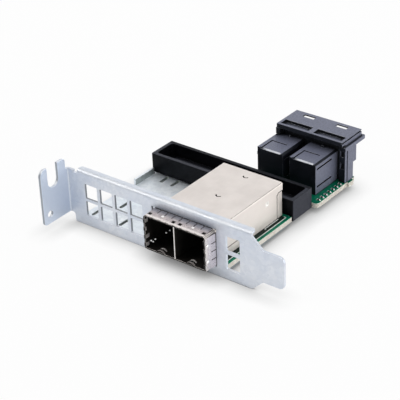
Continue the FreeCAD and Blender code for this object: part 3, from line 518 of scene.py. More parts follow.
def zinc_plate(name, tones, sheared, cut, cut_zone, dress):
    """Zinc-plated sheet: clouds, spangle, rolling grain, other tones at its edges and where it is cut (raw
    steel with painted shade on the bracket, painted light on the tray), and painted shade in its slits and
    recesses.
    """
    look = Look(name, Metallic=0.72)
    where = look.place()
    clouds = look.noise(where, scale=0.11, detail=4.0)
    spangle = look.cells(where, scale=0.9)
    grain = look.noise(look.place((0.3, 5.0, 5.0)), scale=1.0, detail=2.0)
    pits = look.noise(where, scale=7.0, detail=2.0)
    tone = look.mix(look.spread(clouds), *tones)
    tone = look.mix(look.steps(spangle, 0.0, 1.0, 0.0, 0.3), tone, ZINC_SPANGLE)
    tone = look.mix(look.steps(grain, 0.45, 0.75, 0.0, 0.28), tone, ZINC_GRAIN)
    tone = look.mix(look.edges(width=0.16), tone, sheared)
    # Raw steel where cut, with painted shade on it in the bracket's windows and painted light in the tray's
    # slots
    tone = look.mix(look.within(*cut_zone), tone, cut)
    # Painted shade in slits and recesses
    tone = look.mix(look.recess(reach=0.5), tone, ZINC_RECESS_SHADE)
    tone = dress(look, tone)
    rough = look.math("ADD", look.spread(clouds, 0.46, 0.54), look.spread(grain, -0.03, 0.04))
    return look.finish(tone, rough, look.weighed(grain, pits, share=0.6), depth=0.008)


def bracket_tones(look, tone):
    """Tab with painted bluish light and a dull cut edge, painted highlight on the bend along the top, and
    painted shade in the corner above the nose.
    """
    low, high = node_box("slot_bracket")
    cage_low, cage_high = node_box("cage_shell")
    across = look.place_part("X")
    tab = look.steps(across, low.x + TAB_REACH + TAB_FADE, low.x + TAB_REACH)
    # Painted bluish light on the tab's side towards +X
    tone = look.mix(look.both(tab, look.facing(RIGHT, share=0.7)), tone, TAB_PAINTED_LIGHT)
    cut = look.steps(across, low.x + BRACKET_SHEET, low.x + BRACKET_SHEET - TAB_CUT_FADE)
    tone = look.mix(look.both(cut, look.facing(FRONT, start=0.5, full=0.8)), tone, TAB_CUT)
    # Painted highlight on the bend along the top
    tone = look.mix(look.facing(BEND_FACE, start=0.9, full=0.99, share=0.55), tone, BEND_HIGHLIGHT)
    # Painted shade in the corner above the nose
    corner_low = (cage_low.x - CORNER_REACH, low.y, cage_high.z)
    corner_high = (cage_high.x + CORNER_REACH, high.y + CORNER_REACH, high.z + CORNER_REACH)
    corner = look.within(corner_low, corner_high, soft=CORNER_SOFT)
    corner = look.both(corner, look.recess(reach=4.0, start=0.92, full=0.5))
    return look.mix(look.math("MULTIPLY", corner, CORNER_SHADE), tone, CORNER_PAINTED_SHADE)


def tray_tones(look, tone):
    """Painted shade on the faces towards +X, darkest on the right half."""
    # Painted shade on the faces towards +X
    shade = look.mix(look.steps(look.place_part("X"), *TRAY_MIDDLE), *TRAY_SHADE)
    return look.mix(look.facing(RIGHT), tone, shade)


def zinc_steel():
    """Bracket sheet with burnished edges, and raw steel inside the windows left of the cage, darkened with
    painted shade.
    """
    low, high = node_box("slot_bracket")
    cage = node_box("cage_shell")[0]
    front = cage.y + CAGE_NOSE
    cut_low = (low.x + WINDOW_END, front + CUT_SKIN, low.z + WINDOW_RISE)
    cut_high = (cage.x, front + BRACKET_SHEET - CUT_SKIN, high.z - WINDOW_DROP)
    return zinc_plate("zinc_steel", BRACKET_ZINC, BRACKET_SHEARED, BRACKET_CUT_SHADE,
                      (cut_low, cut_high), bracket_tones)


def zinc_tray():
    """Tray sheet with duller, freshly sheared edges, raw steel with painted light inside its slots, and
    painted shade on its faces towards +X.
    """
    low, high = node_box("base_tray")
    board_bottom = node_box("circuit_board")[0].z
    cut_low = (low.x + TRAY_RIM, low.y + TRAY_RIM, board_bottom - BRACKET_SHEET + CUT_SKIN)
    cut_high = (high.x - TRAY_RIM, high.y - TRAY_RIM, board_bottom - CUT_SKIN)
    return zinc_plate("zinc_tray", TRAY_ZINC, TRAY_SHEARED, TRAY_CUT_LIGHT, (cut_low, cut_high), tray_tones)


# Nickel plate of the cage

def nickel_plate(name, dark_zones, dress):
    """Warm nickel plate: streaks, stains, bright sheared edges, painted light on its right side, and painted
    shade in its recesses, in the ports and on its front edges.
    """
    look = Look(name, Metallic=0.5)
    low, high = node_box("cage_shell")
    where = look.place()
    along = look.place_part("Y")
    stains = look.noise(where, scale=0.16, detail=4.0)
    streaks = look.noise(look.place((3.0, 0.12, 3.0)), scale=1.0)
    pits = look.noise(where, scale=9.0, detail=2.0)
    tone = look.mix(look.spread(stains), *NICKEL)
    tone = look.mix(look.steps(streaks, 0.45, 0.8, 0.0, 0.3), tone, NICKEL_STREAK)
    # Painted light on the right side, rising towards the rear
    painted_side_light = look.steps(along, low.y + CAGE_NOSE, high.y, *SIDE_LIGHT)
    tone = look.mix(look.both(painted_side_light, look.facing(RIGHT)), tone, NICKEL_SIDE_LIGHT)
    tone = look.mix(look.edges(width=0.1), tone, NICKEL_SHEARED)
    # Painted shade in slits and recesses
    tone = look.mix(look.recess(reach=0.5, start=0.75, full=0.4), tone, NICKEL_RECESS_SHADE)
    # Painted shade in the ports, the rim's slots and on the mouth's front edges
    painted_shade = look.mix(look.spread(stains), *NICKEL_PAINTED_SHADE)
    for zone in dark_zones:
        tone = look.mix(look.within(*zone), tone, painted_shade)
    mouth = look.steps(along, low.y + EDGE_DEPTH, low.y + EDGE_DEPTH / 2)
    tone = look.mix(look.both(mouth, look.facing(FRONT, start=0.6, full=0.9)), tone, painted_shade)
    tone = dress(look, tone)
    rough = look.math("ADD", look.spread(stains, 0.46, 0.54), look.spread(streaks, -0.04, 0.04))
    return look.finish(tone, rough, look.weighed(streaks, pits, share=0.5), depth=0.006)


def cage_tones(look, tone):
    """Painted highlight on the divider's front edge, a seam low on the right side, and painted highlights on
    the dimples in both sides.
    """
    low, high = node_box("cage_shell")
    divider_low, divider_high = node_box("cage_divider")
    edge_low = (divider_low.x - EDGE_DEPTH, low.y - EDGE_DEPTH, divider_low.z + CAGE_SHEET)
    edge_high = (divider_high.x + EDGE_DEPTH, low.y + EDGE_DEPTH, divider_high.z)
    # Painted highlight on the divider's front edge
    edge = look.both(look.within(edge_low, edge_high), look.facing(FRONT, start=0.3, full=0.6))
    tone = look.mix(edge, tone, NICKEL_HIGHLIGHT)
    seam_low = (high.x - EDGE_DEPTH, low.y + SEAM_RUN[0], divider_low.z + SEAM_RISE)
    seam_high = (high.x + EDGE_DEPTH, low.y + SEAM_RUN[1], divider_low.z + SEAM_RISE + SEAM_WIDTH)
    tone = look.mix(look.within(seam_low, seam_high), tone, NICKEL_SEAM)
    # Painted highlight on the dimples
    reach = Vector((CAGE_SHEET, DIMPLE_REACH, DIMPLE_REACH))
    for face in (low.x, high.x):
        middle = Vector((face, high.y - DIMPLE_BACK, node_box("circuit_board")[1].z + DIMPLE_RISE))
        tone = look.mix(look.within(middle - reach, middle + reach), tone, NICKEL_DIMPLE_HIGHLIGHT)
    return tone


def floor_tones(look, tone):
    """Painted highlight on the crowns of the stamped arches, between the floor and their sides, which carry
    painted shade.
    """
    low, high = node_box("cage_floor")
    crown_low = (low.x, low.y, low.z + CAGE_SHEET + ARCH_EDGE)
    crown_high = (high.x, high.y, high.z + CAGE_SHEET)
    # Painted highlight on the crowns of the arches
    crown = look.both(look.within(crown_low, crown_high), look.facing(UP, start=0.3, full=0.6))
    return look.mix(crown, tone, NICKEL_HIGHLIGHT)


def nickel_sheet():
    """Plate of the cage, dark with painted shade on its faces towards the ports and in the slots in its rim.
    """
    low, high = node_box("cage_shell")
    board = node_box("circuit_board")[1]
    inner_low = (low.x + CAGE_SHEET / 2, low.y + MOUTH_DEPTH, board.z + CAGE_SHEET / 2)
    inner_high = (high.x - CAGE_SHEET / 2, high.y - CAGE_SHEET / 2, high.z - CAGE_SHEET / 2)
    slot_low = (low.x + SLOT_MARGIN, low.y + SLOT_RUN[0], high.z - SLOT_DROP[0])
    slot_high = (high.x - SLOT_MARGIN, low.y + SLOT_RUN[1], high.z - SLOT_DROP[1])
    dark_zones = ((inner_low, inner_high), (slot_low, slot_high, SLOT_SOFT))
    return nickel_plate("nickel_sheet", dark_zones, cage_tones)


def nickel_floor():
    """Plate of the cage's floor, dark with painted shade but for its underside and the crowns of its arches,
    which carry a painted highlight.
    """
    low, high = node_box("cage_floor")
    inner_low = (low.x, low.y + MOUTH_DEPTH, low.z + CAGE_SHEET / 2)
    inner_high = (high.x, high.y, high.z + CAGE_SHEET)
    return nickel_plate("nickel_floor", ((inner_low, inner_high),), floor_tones)


# Gasket strips

def side_wedges(look, along, sideways):
    """Mask of painted shade in the side strips' slits, which widens towards the plate."""
    low, high = node_box("gasket_strip_left")
    pitch = (high.z - low.z) / len(SIDE_HOOK_RUNS)
    apart = look.math("PINGPONG", look.math("SUBTRACT", look.place_part("Z"), low.z), pitch / 2)
    half = look.steps(along, high.y - WEDGE_RUN, high.y, *WEDGE_HALF)
    inside = look.steps(look.math("SUBTRACT", apart, half), WEDGE_SOFT, -WEDGE_SOFT)
    return look.both(inside, look.steps(sideways, 0.6, 0.9))


def raised_domes(look, along, side_rise, top_rise, reach):
    """Mask of what stands more than a rise off the cage, up to a reach behind its front."""
    low, high = node_box("cage_shell")
    lower = (low.x - side_rise, low.y - reach, 0.0)
    upper = (high.x + side_rise, high.y, high.z + top_rise)
    raised = look.inverse(look.within(lower, upper))
    return look.both(raised, look.steps(along, low.y + reach + DOME_FADE, low.y + reach))


def gasket_spring():
    """Thin sprung strip with a rosy plating: painted highlights on its domes and folds, painted light on its
    right faces, painted shade towards the plate and in its slits.
    """
    look = Look("gasket_spring")
    front = node_box("cage_shell")[0].y
    where = look.place()
    along = look.place_part("Y")
    stains = look.noise(where, scale=0.6, detail=4.0)
    rubs = look.noise(where, scale=3.0)
    tone = look.mix(look.steps(stains, 0.35, 0.65), *GASKET)
    # Painted light on the faces towards +X
    tone = look.mix(look.facing(RIGHT), tone, GASKET_RIGHT_LIGHT)
    # Painted shade towards the plate
    rear_shade = look.steps(along, front + SHADE_RUN[0], front + SHADE_RUN[1])
    tone = look.mix(look.both(look.facing(UP, share=0.8), rear_shade), tone, GASKET_SHADE)
    tone = look.mix(look.steps(rubs, 0.55, 0.75, 0.0, 0.35), tone, GASKET_RUB)
    sideways = look.squareness("X")
    outward = look.either(sideways, look.normal_part("Z"))
    # Painted highlight on the folds at the front
    fold = look.both(outward, look.steps(along, front + FOLD_RUN[1], front + FOLD_RUN[0]))
    fold = look.both(fold, look.steps(rubs, 0.3, 0.55, 0.55, 1.0))
    tone = look.mix(fold, tone, GASKET_FOLD_HIGHLIGHT)
    # Painted highlight on the domes
    top_domes = raised_domes(look, along, DOME_CLEAR, DOME_RISE, DOME_REACH)
    side_domes = raised_domes(look, along, SIDE_DOME_RISE, DOME_CLEAR, SIDE_DOME_REACH)
    tone = look.mix(look.either(top_domes, side_domes), tone, GASKET_DOME_HIGHLIGHT)
    # Painted shade in the slits and on faces that turn inward
    slits = look.either(look.steps(outward, 0.55, 0.4), look.recess(reach=0.6, start=0.8, full=0.55))
    slits = look.either(slits, side_wedges(look, along, sideways))
    tone = look.mix(slits, tone, GASKET_SLIT_SHADE)
    rough = look.spread(rubs, 0.38, 0.26)
    rough = look.math("SUBTRACT", rough, look.math("MULTIPLY", side_domes, DOME_POLISH))
    metal = look.math("MULTIPLY", look.inverse(top_domes), GASKET_METAL)
    look.feed(look.shader.inputs["Metallic"], look.either(metal, side_domes))
    return look.finish(tone, rough, rubs, depth=0.004)


# Black plastics

def lid_bevels(look):
    """Mask of the rubbed front bevels of the wafer blocks' lids and of the shroud behind them, which also
    carry a painted highlight.
    """
    across = look.place_part("X")
    shroud = node_box("receptacle_shroud")[0].y
    zone = look.steps(look.place_part("Y"), shroud - LID_SOFT, shroud)
    for node in ("wafer_block_left", "wafer_block_right"):
        low, high = node_box(node)
        lid = look.steps(across, low.x + LID_FADE[0], low.x + LID_FADE[1])
        lid = look.both(lid, look.steps(across, high.x, high.x - LID_END))
        zone = look.either(zone, lid)
    return look.both(zone, look.facing(LID_FACE, start=0.93, full=0.985))


def channel_sheen_share(look):
    """Share of the channel's dust and painted sheen: little on the top of its rear wall."""
    rear = node_box("clamp_channel")[1].y - CHANNEL_WALL
    wall = look.steps(look.place_part("Y"), rear - WALL_FADE, rear)
    return look.steps(look.both(wall, look.facing(UP, start=0.75, full=0.95)), 0.0, 1.0, 1.0, WALL_DUST_AND_SHEEN)


def moulded_plastic(name, index, tones, scuff_and_highlight, dust_and_sheen, roughness, bevel=None, sheen_share=None):
    """Glass-filled plastic: grain, flow clouds, scuffed edges that also carry a painted highlight, dust and
    painted sheen on tops and sides, rubbed bevels with a painted highlight, painted shade in grooves and
    recesses.
    """
    look = Look(name, IOR=index, Specular_Tint=PLASTIC_SHEEN)
    where = look.place()
    clouds = look.noise(where, scale=0.25)
    grain = look.noise(where, scale=9.0, detail=3.0, roughness=0.65)
    flecks = look.noise(where, scale=2.2, detail=4.0, roughness=0.7)
    tone = look.mix(look.spread(clouds), *tones)
    tone = look.mix(look.steps(flecks, 0.62, 0.8, 0.0, 0.35), tone, scuff_and_highlight)
    # Scuffed edges, brighter also as a painted highlight
    worn_and_highlit = look.both(look.edges(width=0.14), look.steps(flecks, 0.3, 0.6, 0.25, 0.9))
    tone = look.mix(worn_and_highlit, tone, scuff_and_highlight)
    # Dust and painted sheen on tops and sides
    free = look.steps(look.place_part("X"), *DUST_AND_SHEEN_FROM)
    right = look.both(look.facing(RIGHT, start=0.8, full=0.95), free)
    sides = look.either(right, look.facing(LEFT, start=0.8, full=0.95))
    exposed = look.either(look.facing(UP, start=0.75, full=0.95), sides)
    # Painted shade in grooves, recesses and the corners under the shroud
    recess_shade = look.both(look.recess(reach=2.5, start=0.92, full=0.6), look.inverse(right))
    recess_shade = look.either(recess_shade, look.recess(reach=0.6, start=0.85, full=0.6))
    sheen_and_dust = look.both(exposed, look.inverse(recess_shade))
    if sheen_share:
        sheen_and_dust = look.both(sheen_and_dust, sheen_share(look))
    tone = look.mix(look.both(sheen_and_dust, look.spread(flecks, 0.55, 0.9)), tone, dust_and_sheen)
    # Rubbed bevels with a painted highlight
    if bevel:
        rubbed_and_highlit = look.both(lid_bevels(look), look.steps(flecks, 0.25, 0.5, 0.5, 1.0))
        tone = look.mix(rubbed_and_highlit, tone, bevel)
    # Painted shade in grooves and recesses
    tone = look.mix(look.math("MULTIPLY", recess_shade, 0.85), tone, PLASTIC_RECESS_SHADE)
    rough = look.spread(grain, roughness - 0.05, roughness + 0.06)
    rough = look.math("ADD", rough, look.math("MULTIPLY", recess_shade, 0.4))
    return look.finish(tone, rough, grain, PLASTIC_GRAIN)


def channel_plastic():
    """Deep black plastic of the channel, with little gloss."""
    return moulded_plastic("channel_plastic", index=1.18, tones=CHANNEL_BLACK, scuff_and_highlight=CHANNEL_SCUFF_AND_HIGHLIGHT,
                           dust_and_sheen=CHANNEL_DUST_AND_SHEEN, roughness=0.42, sheen_share=channel_sheen_share)


def receptacle_plastic():
    """Cooler plastic of the receptacles, with more dust and painted sheen."""
    return moulded_plastic("receptacle_plastic", index=1.45, tones=RECEPTACLE_BLACK, scuff_and_highlight=RECEPTACLE_SCUFF_AND_HIGHLIGHT,
                           dust_and_sheen=RECEPTACLE_DUST_AND_SHEEN, roughness=0.40, bevel=LID_RUB_AND_HIGHLIGHT)


# Board and small parts

def board_green():
    """Green mask over copper tracks and laminate, with a strip of painted shade beside the cage, and the
    laminate's cream layers at the edges.
    """
    look = Look("board_green", Specular_IOR_Level=0.12)
    where = look.place()
    tracks = look.node("TexBrick", {"Vector": where, **TRACKS}).outputs["Fac"]
    clouds = look.noise(where, scale=0.35)
    weave = look.noise(look.place((1.3, 1.3, 9.0)), scale=1.0)
    fine = look.noise(where, scale=10.0, detail=2.0)
    mask = look.mix(look.spread(clouds), *BOARD_MASK)
    mask = look.mix(look.math("MULTIPLY", tracks, 0.5), mask, BOARD_TRACK)
    # Painted shade on the strip beside the cage
    cage_low, cage_high = node_box("cage_shell")
    shade_low = (cage_low.x, cage_low.y, 0.0)
    shade_high = (cage_high.x + PRINT_GAP - PRINT_SHADE_GAP, cage_high.y - PRINT_END, cage_high.z)
    mask = look.mix(look.within(shade_low, shade_high, soft=PRINT_SHADE_SOFT), mask, BOARD_SHADE)
    layers = look.mix(look.steps(weave, 0.4, 0.6), *BOARD_LAYERS)
    level = look.squareness("Z")
    rim = look.mix(look.steps(level, 0.2, 0.6), layers, BOARD_RIM)
    tone = look.mix(look.steps(level, 0.82, 0.97), rim, mask)
    return look.finish(tone, look.spread(fine, 0.3, 0.42), look.weighed(tracks, fine, share=0.8), depth=0.02)


def contact_gold():
    """Gold flash with a paler, thinner patch here and there."""
    look = Look("contact_gold", Metallic=1.0)
    where = look.place()
    patches = look.noise(where, scale=1.6)
    fine = look.noise(where, scale=12.0, detail=2.0)
    tone = look.mix(look.steps(patches, 0.35, 0.7), *GOLD)
    return look.finish(tone, look.spread(fine, 0.2, 0.32), fine, depth=0.003)


def tin(name, metallic):
    """Bright tin with a slightly wavy, frosted skin."""
    look = Look(name, Metallic=metallic)
    where = look.place()
    waves = look.noise(where, scale=2.5)
    frost = look.noise(where, scale=14.0, detail=2.0)
    tone = look.mix(look.spread(waves), *TIN)
    return look.finish(tone, look.spread(frost, 0.22, 0.4), waves, depth=0.02)


def tin_solder():
    """Solder and tin ends of the chip parts."""
    return tin("tin_solder", metallic=0.5)


def lance_tin():
    """Brighter tin of the lances in the left port."""
    return tin("lance_tin", metallic=1.0)


def chip_ceramic():
    """Fired ceramic body, grey-brown and finely grained."""
    look = Look("chip_ceramic")
    where = look.place()
    grain = look.noise(where, scale=12.0)
    clouds = look.noise(where, scale=1.0)
    tone = look.mix(look.steps(clouds, 0.35, 0.65), *CERAMIC)
    tone = look.mix(look.edges(width=0.05), tone, CERAMIC_EDGE)
    return look.finish(tone, look.spread(grain, 0.4, 0.55), grain, depth=0.006)


def screw_steel():
    """Passivated screw with stains and bright edges."""
    look = Look("screw_steel", Metallic=1.0)
    where = look.place()
    stains = look.noise(where, scale=0.9, detail=4.0)
    fine = look.noise(where, scale=8.0)
    tone = look.mix(look.spread(stains), *SCREW)
    tone = look.mix(look.edges(width=0.12), tone, SCREW_EDGE)
    return look.finish(tone, look.spread(fine, 0.28, 0.4), fine, depth=0.006)


def silk_ink():
    """White printed ink, thinner in places."""
    look = Look("silk_ink")
    where = look.place()
    body = look.noise(where, scale=5.0, detail=4.0)
    fine = look.noise(where, scale=16.0, detail=2.0)
    tone = look.mix(look.steps(body, 0.3, 0.55), *INK)
    return look.finish(tone, look.spread(fine, 0.5, 0.65), fine, depth=0.008)


MAKERS = (
    zinc_steel, zinc_tray, nickel_sheet, nickel_floor, gasket_spring, channel_plastic, receptacle_plastic,
    contact_gold, board_green, chip_ceramic, screw_steel, tin_solder, lance_tin, silk_ink,
)
looks = {make.__name__: make() for make in MAKERS}

# Slot of the record for each CAD node, and the look where it has its own
NODE_SLOTS = {part["node"]: part["material_slot"] for part in frame["record"]["subparts"]}
NODE_LOOKS = {**NODE_SLOTS, "cage_floor": "nickel_floor", "base_tray": "zinc_tray"}


# Pieces that stand for CAD nodes, and nodes that keep their shape

def piece(name, shape, look):
    """Object out of a shape in millimetres, which rides on the part."""
    mesh = bpy.data.meshes.new(name)
    shape.to_mesh(mesh)
    shape.free()
    mesh.transform(Matrix.Scale(MM, 4))
    mesh.shade_smooth()
    mesh.set_sharp_from_angle(angle=SMOOTH_ANGLE)
    made = bpy.data.objects.new(name, mesh)
    bpy.context.scene.collection.objects.link(made)
    mesh.materials.append(looks[look])
    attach(made, "root")
    return made


def round_edges(shape, edges, width, clamp):
    """Rounds edges in two steps; clamp keeps a rounding from running into its neighbour."""
    bmesh.ops.bevel(shape, geom=edges, offset=width, offset_type="OFFSET", segments=2,
                    profile=0.5, affect="EDGES", clamp_overlap=clamp)


def narrow_edges(shape):
    """Edges that meet at a very narrow corner of a face: rounding them would throw out a fin."""
    narrow = set()
    for face in shape.faces:
        for corner in face.loops:
            if corner.calc_angle() < NARROW_ANGLE:
                narrow.update((corner.edge, corner.link_loop_prev.edge))
    return narrow


def softened(node, width):
    """Copy of a CAD node with rounded edges and flat-looking faces, which stands for the node."""
    shape = bmesh.new()
    shape.from_mesh(frame["nodes"][node].data)
    bmesh.ops.scale(shape, vec=(1 / MM,) * 3, verts=shape.verts)
    bmesh.ops.remove_doubles(shape, verts=shape.verts, dist=WELD)
    bmesh.ops.dissolve_limit(shape, angle_limit=FLAT_ANGLE, verts=shape.verts, edges=shape.edges)
    cusps = narrow_edges(shape)
    sharp = [edge for edge in shape.edges
             if edge.is_manifold and edge.calc_face_angle() > SHARP_ANGLE and edge not in cusps]
    round_edges(shape, sharp, width, clamp=False)
    bmesh.ops.dissolve_degenerate(shape, dist=WELD, edges=shape.edges)
    made = piece(node + "_soft", shape, NODE_LOOKS[node])
    normals = made.modifiers.new("normals", "WEIGHTED_NORMAL")
    normals.keep_sharp = True
    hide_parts(node)


def dressed(node):
    """CAD node that keeps its shape and gets its material."""
    materials = frame["nodes"][node].data.materials
    materials.clear()
    materials.append(looks[NODE_LOOKS[node]])


# Shapes that the added pieces are made of

def add_block(shape, low, high, rounding):
    """Block with rounded edges between two corners."""
    low = Vector(low)
    high = Vector(high)
    place = Matrix.Translation((low + high) / 2) @ Matrix.Diagonal((*(high - low), 1.0))
    verts = bmesh.ops.create_cube(shape, size=1.0, matrix=place)["verts"]
    edges = dict.fromkeys(edge for vert in verts for edge in vert.link_edges)
    round_edges(shape, list(edges), rounding, clamp=True)


def add_turned(shape, centre, profile, around):
    """Turned solid about Z: profile is (radius, height) from its lower middle to its upper middle."""
    rings = []
    for radius, height in profile:
        ring = []
        for number in range(around if radius > 0 else 1):
            angle = 2 * math.pi * number / around
            offset = Vector((radius * math.cos(angle), radius * math.sin(angle), height))
            ring.append(shape.verts.new(Vector(centre) + offset))
        rings.append(ring)
    for lower, upper in zip(rings, rings[1:]):
        for number in range(around):
            after = (number + 1) % around
            corners = [lower[number % len(lower)], lower[after % len(lower)],
                       upper[after % len(upper)], upper[number % len(upper)]]
            shape.faces.new(list(dict.fromkeys(corners)))


def dome_profile(radius, height, skirt, steps):
    """Profile of a closed dome that stands on a short skirt."""
    angles = [math.pi / 2 * step / steps for step in range(steps)]
    curve = [(radius * math.cos(angle), skirt + height * math.sin(angle)) for angle in angles]
    return [(0, 0), (radius, 0)] + curve + [(0, skirt + height)]


def add_skin(shape, rows):
    """Closed skin over rows of four corners."""
    for one, two in zip(rows, rows[1:]):
        for number in range(4):
            after = (number + 1) % 4
            shape.faces.new((one[number], two[number], two[after], one[after]))
    shape.faces.new(rows[0])
    shape.faces.new(rows[-1][::-1])


def add_ribbon(shape, points, across, thickness):
    """Bent strip along points: across is half its width, as a direction."""
    points = [Vector(point) for point in points]
    across = Vector(across)
    runs = [(end - start).normalized() for start, end in zip(points, points[1:])]
    rows = []
    for index, point in enumerate(points):
        arrive = runs[max(index - 1, 0)]
        leave = runs[min(index, len(runs) - 1)]
        along = (arrive + leave).normalized()
        out = along.cross(across).normalized() * (thickness / 2 / max(along.dot(arrive), MITRE_LIMIT))
        corners = (point - across - out, point + across - out, point + across + out, point - across + out)
        rows.append([shape.verts.new(corner) for corner in corners])
    add_skin(shape, rows)


def add_line(shape, points, level):
    """Flat printed line along points in plan, on a level."""
    middle = level + PRINT_RISE / 2
    for start, end in zip(points, points[1:]):
        along = (Vector(end) - Vector(start)).normalized()
        across = Vector((-along.y, along.x, 0)) * (PRINT_WIDTH / 2)
        reach = along * (PRINT_WIDTH / 2)
        run = [(*(Vector(start) - reach), middle), (*(Vector(end) + reach), middle)]
        add_ribbon(shape, run, across, PRINT_RISE)


def middles(low, high, count):
    """Middles of equal parts between two places."""
    return [low + (high - low) * (number + 0.5) / count for number in range(count)]


# Added pieces

def board_print():
    """White printed lines on the board beside the cage."""
    board_low, board_high = node_box("circuit_board")
    cage = node_box("cage_shell")[1]
    rear = cage.y - PRINT_END
    outer = cage.x + PRINT_GAP
    inner = cage.x + PRINT_INNER_GAP
    inner_start = rear - PRINT_INNER_RUN[0]
    inner_end = rear - PRINT_INNER_RUN[1]
    shape = bmesh.new()
    outer_line = [(outer, board_low.y + PRINT_FRONT), (outer, rear), (outer - PRINT_TURN, rear)]
    inner_line = [(inner, inner_start), (inner, inner_end), (inner + PRINT_TURN / 2, inner_end)]
    add_line(shape, outer_line, board_high.z)
    add_line(shape, inner_line, board_high.z)
    piece("board_print", shape, "silk_ink")


def add_chip_end(shape, middle, edge, inner, low, high):
    """Tin end of a chip part between its edge and an inner place, with its pad and a drop of solder."""
    near, far = sorted((edge, inner))
    add_block(shape, (near, middle - CHIP_HALF, low), (far, middle + CHIP_HALF, high), CHIP_END_ROUNDING)
    outer = edge + math.copysign(CHIP_PAD, edge - inner)
    near, far = sorted((outer, inner))
    below, above = CHIP_PAD_HEIGHTS
    add_block(shape, (near, middle - CHIP_PAD, low + below), (far, middle + CHIP_PAD, low + above),
              CHIP_PAD_ROUNDING)
    drop = dome_profile(SOLDER_RADIUS, SOLDER_RISE, SOLDER_SKIRT, SOLDER_STEPS)
    add_turned(shape, (edge, middle, low), drop, SOLDER_SIDES)


def chip_rows():
    """Chip parts with ceramic bodies, tin ends and a drop of solder at each end."""
    low, high = node_box("chip_capacitors")
    first = low.y + CHIP_HALF
    last = high.y - CHIP_HALF
    bodies = bmesh.new()
    solder = bmesh.new()
    for number in range(CHIP_COUNT):
        middle = first + (last - first) * number / (CHIP_COUNT - 1)
        body_low = (low.x + CHIP_END / 2, middle - CHIP_BODY_HALF, low.z)
        body_high = (high.x - CHIP_END / 2, middle + CHIP_BODY_HALF, high.z - CHIP_BODY_DROP)
        add_block(bodies, body_low, body_high, CHIP_BODY_ROUNDING)
        add_chip_end(solder, middle, low.x, low.x + CHIP_END, low.z, high.z)
        add_chip_end(solder, middle, high.x, high.x - CHIP_END, low.z, high.z)
    made = piece("chip_bodies", bodies, "chip_ceramic")
    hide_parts("chip_capacitors")
    piece("chip_solder", solder, "tin_solder")


def add_top_hooks(shape):
    """Ends of the top strip, folded over the front edge of the cage's top."""
    low, high = node_box("cage_shell")
    strip_low, strip_high = node_box("gasket_strip_top")
    tip = low.y - HOOK_SHEET / 2
    outside = high.z + HOOK_SHEET / 2
    inside = high.z - HOOK_DROP
    for middle in middles(strip_low.x, strip_high.x, TOP_HOOKS):
        path = [(middle, low.y + HOOK_START, outside), (middle, tip, outside),
                (middle, tip, inside), (middle, low.y + TOP_HOOK_RUN, inside)]
        add_ribbon(shape, path, (HOOK_WIDTH / 2, 0, 0), HOOK_SHEET)


def add_side_hooks(shape):
    """Ends of the side strips, folded over the front edges of the cage's sides."""
    low, high = node_box("cage_shell")
    strip_low, strip_high = node_box("gasket_strip_left")
    tip = low.y - HOOK_SHEET / 2
    heights = middles(strip_low.z, strip_high.z, len(SIDE_HOOK_RUNS))
    for height, run in zip(heights, SIDE_HOOK_RUNS):
        for wall, inwards in ((low.x, 1), (high.x, -1)):
            outside = wall - inwards * HOOK_SHEET / 2
            inside = wall + inwards * SIDE_HOOK_DROP
            path = [(outside, low.y + HOOK_START, height), (outside, tip, height),
                    (inside, tip, height), (inside, low.y + run, height)]
            add_ribbon(shape, path, (0, 0, SIDE_HOOK_WIDTH / 2), HOOK_SHEET)


def add_floor_hooks(shape):
    """Low arched hooks that stand on the cage's floor, one at each port's mouth."""
    low, high = node_box("cage_shell")
    divider_low, divider_high = node_box("cage_divider")
    floor_top = node_box("cage_floor")[0].z + CAGE_SHEET
    place = low.y + FLOOR_HOOK_DEPTH / 2
    for port_low, port_high in ((low.x, divider_high.x), (divider_low.x, high.x)):
        middle = (port_low + port_high) / 2
        path = []
        for step in range(FLOOR_HOOK_STEPS + 1):
            along = 2 * step / FLOOR_HOOK_STEPS - 1
            rise = FLOOR_HOOK_RISE * (1 - along ** 2)
            path.append((middle + along * FLOOR_HOOK_WIDTH / 2, place, floor_top + rise))
        add_ribbon(shape, path, (0, -FLOOR_HOOK_DEPTH / 2, 0), HOOK_SHEET)


def gasket_hooks():
    """Hooks of the gasket strips round the mouths of the ports."""
    shape = bmesh.new()
    add_top_hooks(shape)
    add_side_hooks(shape)
    add_floor_hooks(shape)
    piece("gasket_hooks", shape, "gasket_spring")


def channel_lug():
    """Small lug on the channel's front, which meets the end of the tray's flange."""
    channel = node_box("clamp_channel")[0]
    tray_top = node_box("circuit_board")[0].z
    flange_top = node_box("base_tray")[1].z
    low = (channel.x + LUG_INSET, channel.y - LUG_REACH, tray_top)
    high = (channel.x + BRACKET_SHEET, channel.y + LUG_INSET, flange_top - LUG_INSET)
    shape = bmesh.new()
    add_block(shape, low, high, LUG_ROUNDING)
    piece("channel_lug", shape, "channel_plastic")


def port_lances():
    """Small bright tongues bent out of the left port's wall, which face the mouth."""
    low = node_box("cage_shell")[0]
    board = node_box("circuit_board")[1]
    face = Vector(LANCE_FACE).normalized()
    out = Vector((-face.y, face.x, 0)).normalized() * LANCE_LENGTH
    across = face.cross(out).normalized() * (LANCE_WIDTH / 2)
    shape = bmesh.new()
    for place, level in LANCES:
        bend = Vector((low.x + CAGE_SHEET, low.y + place, board.z + level))
        root = bend - Vector((0, LANCE_ROOT, 0))
        add_ribbon(shape, [root, bend, bend + out], across, LANCE_SHEET)
    piece("port_lances", shape, "lance_tin")


# The part

for node in frame["nodes"]:
    if node in ROUNDING:
        softened(node, ROUNDING[node])
    else:
        dressed(node)
board_print()
chip_rows()
gasket_hooks()
channel_lug()
port_lances()


# Stage, light and camera

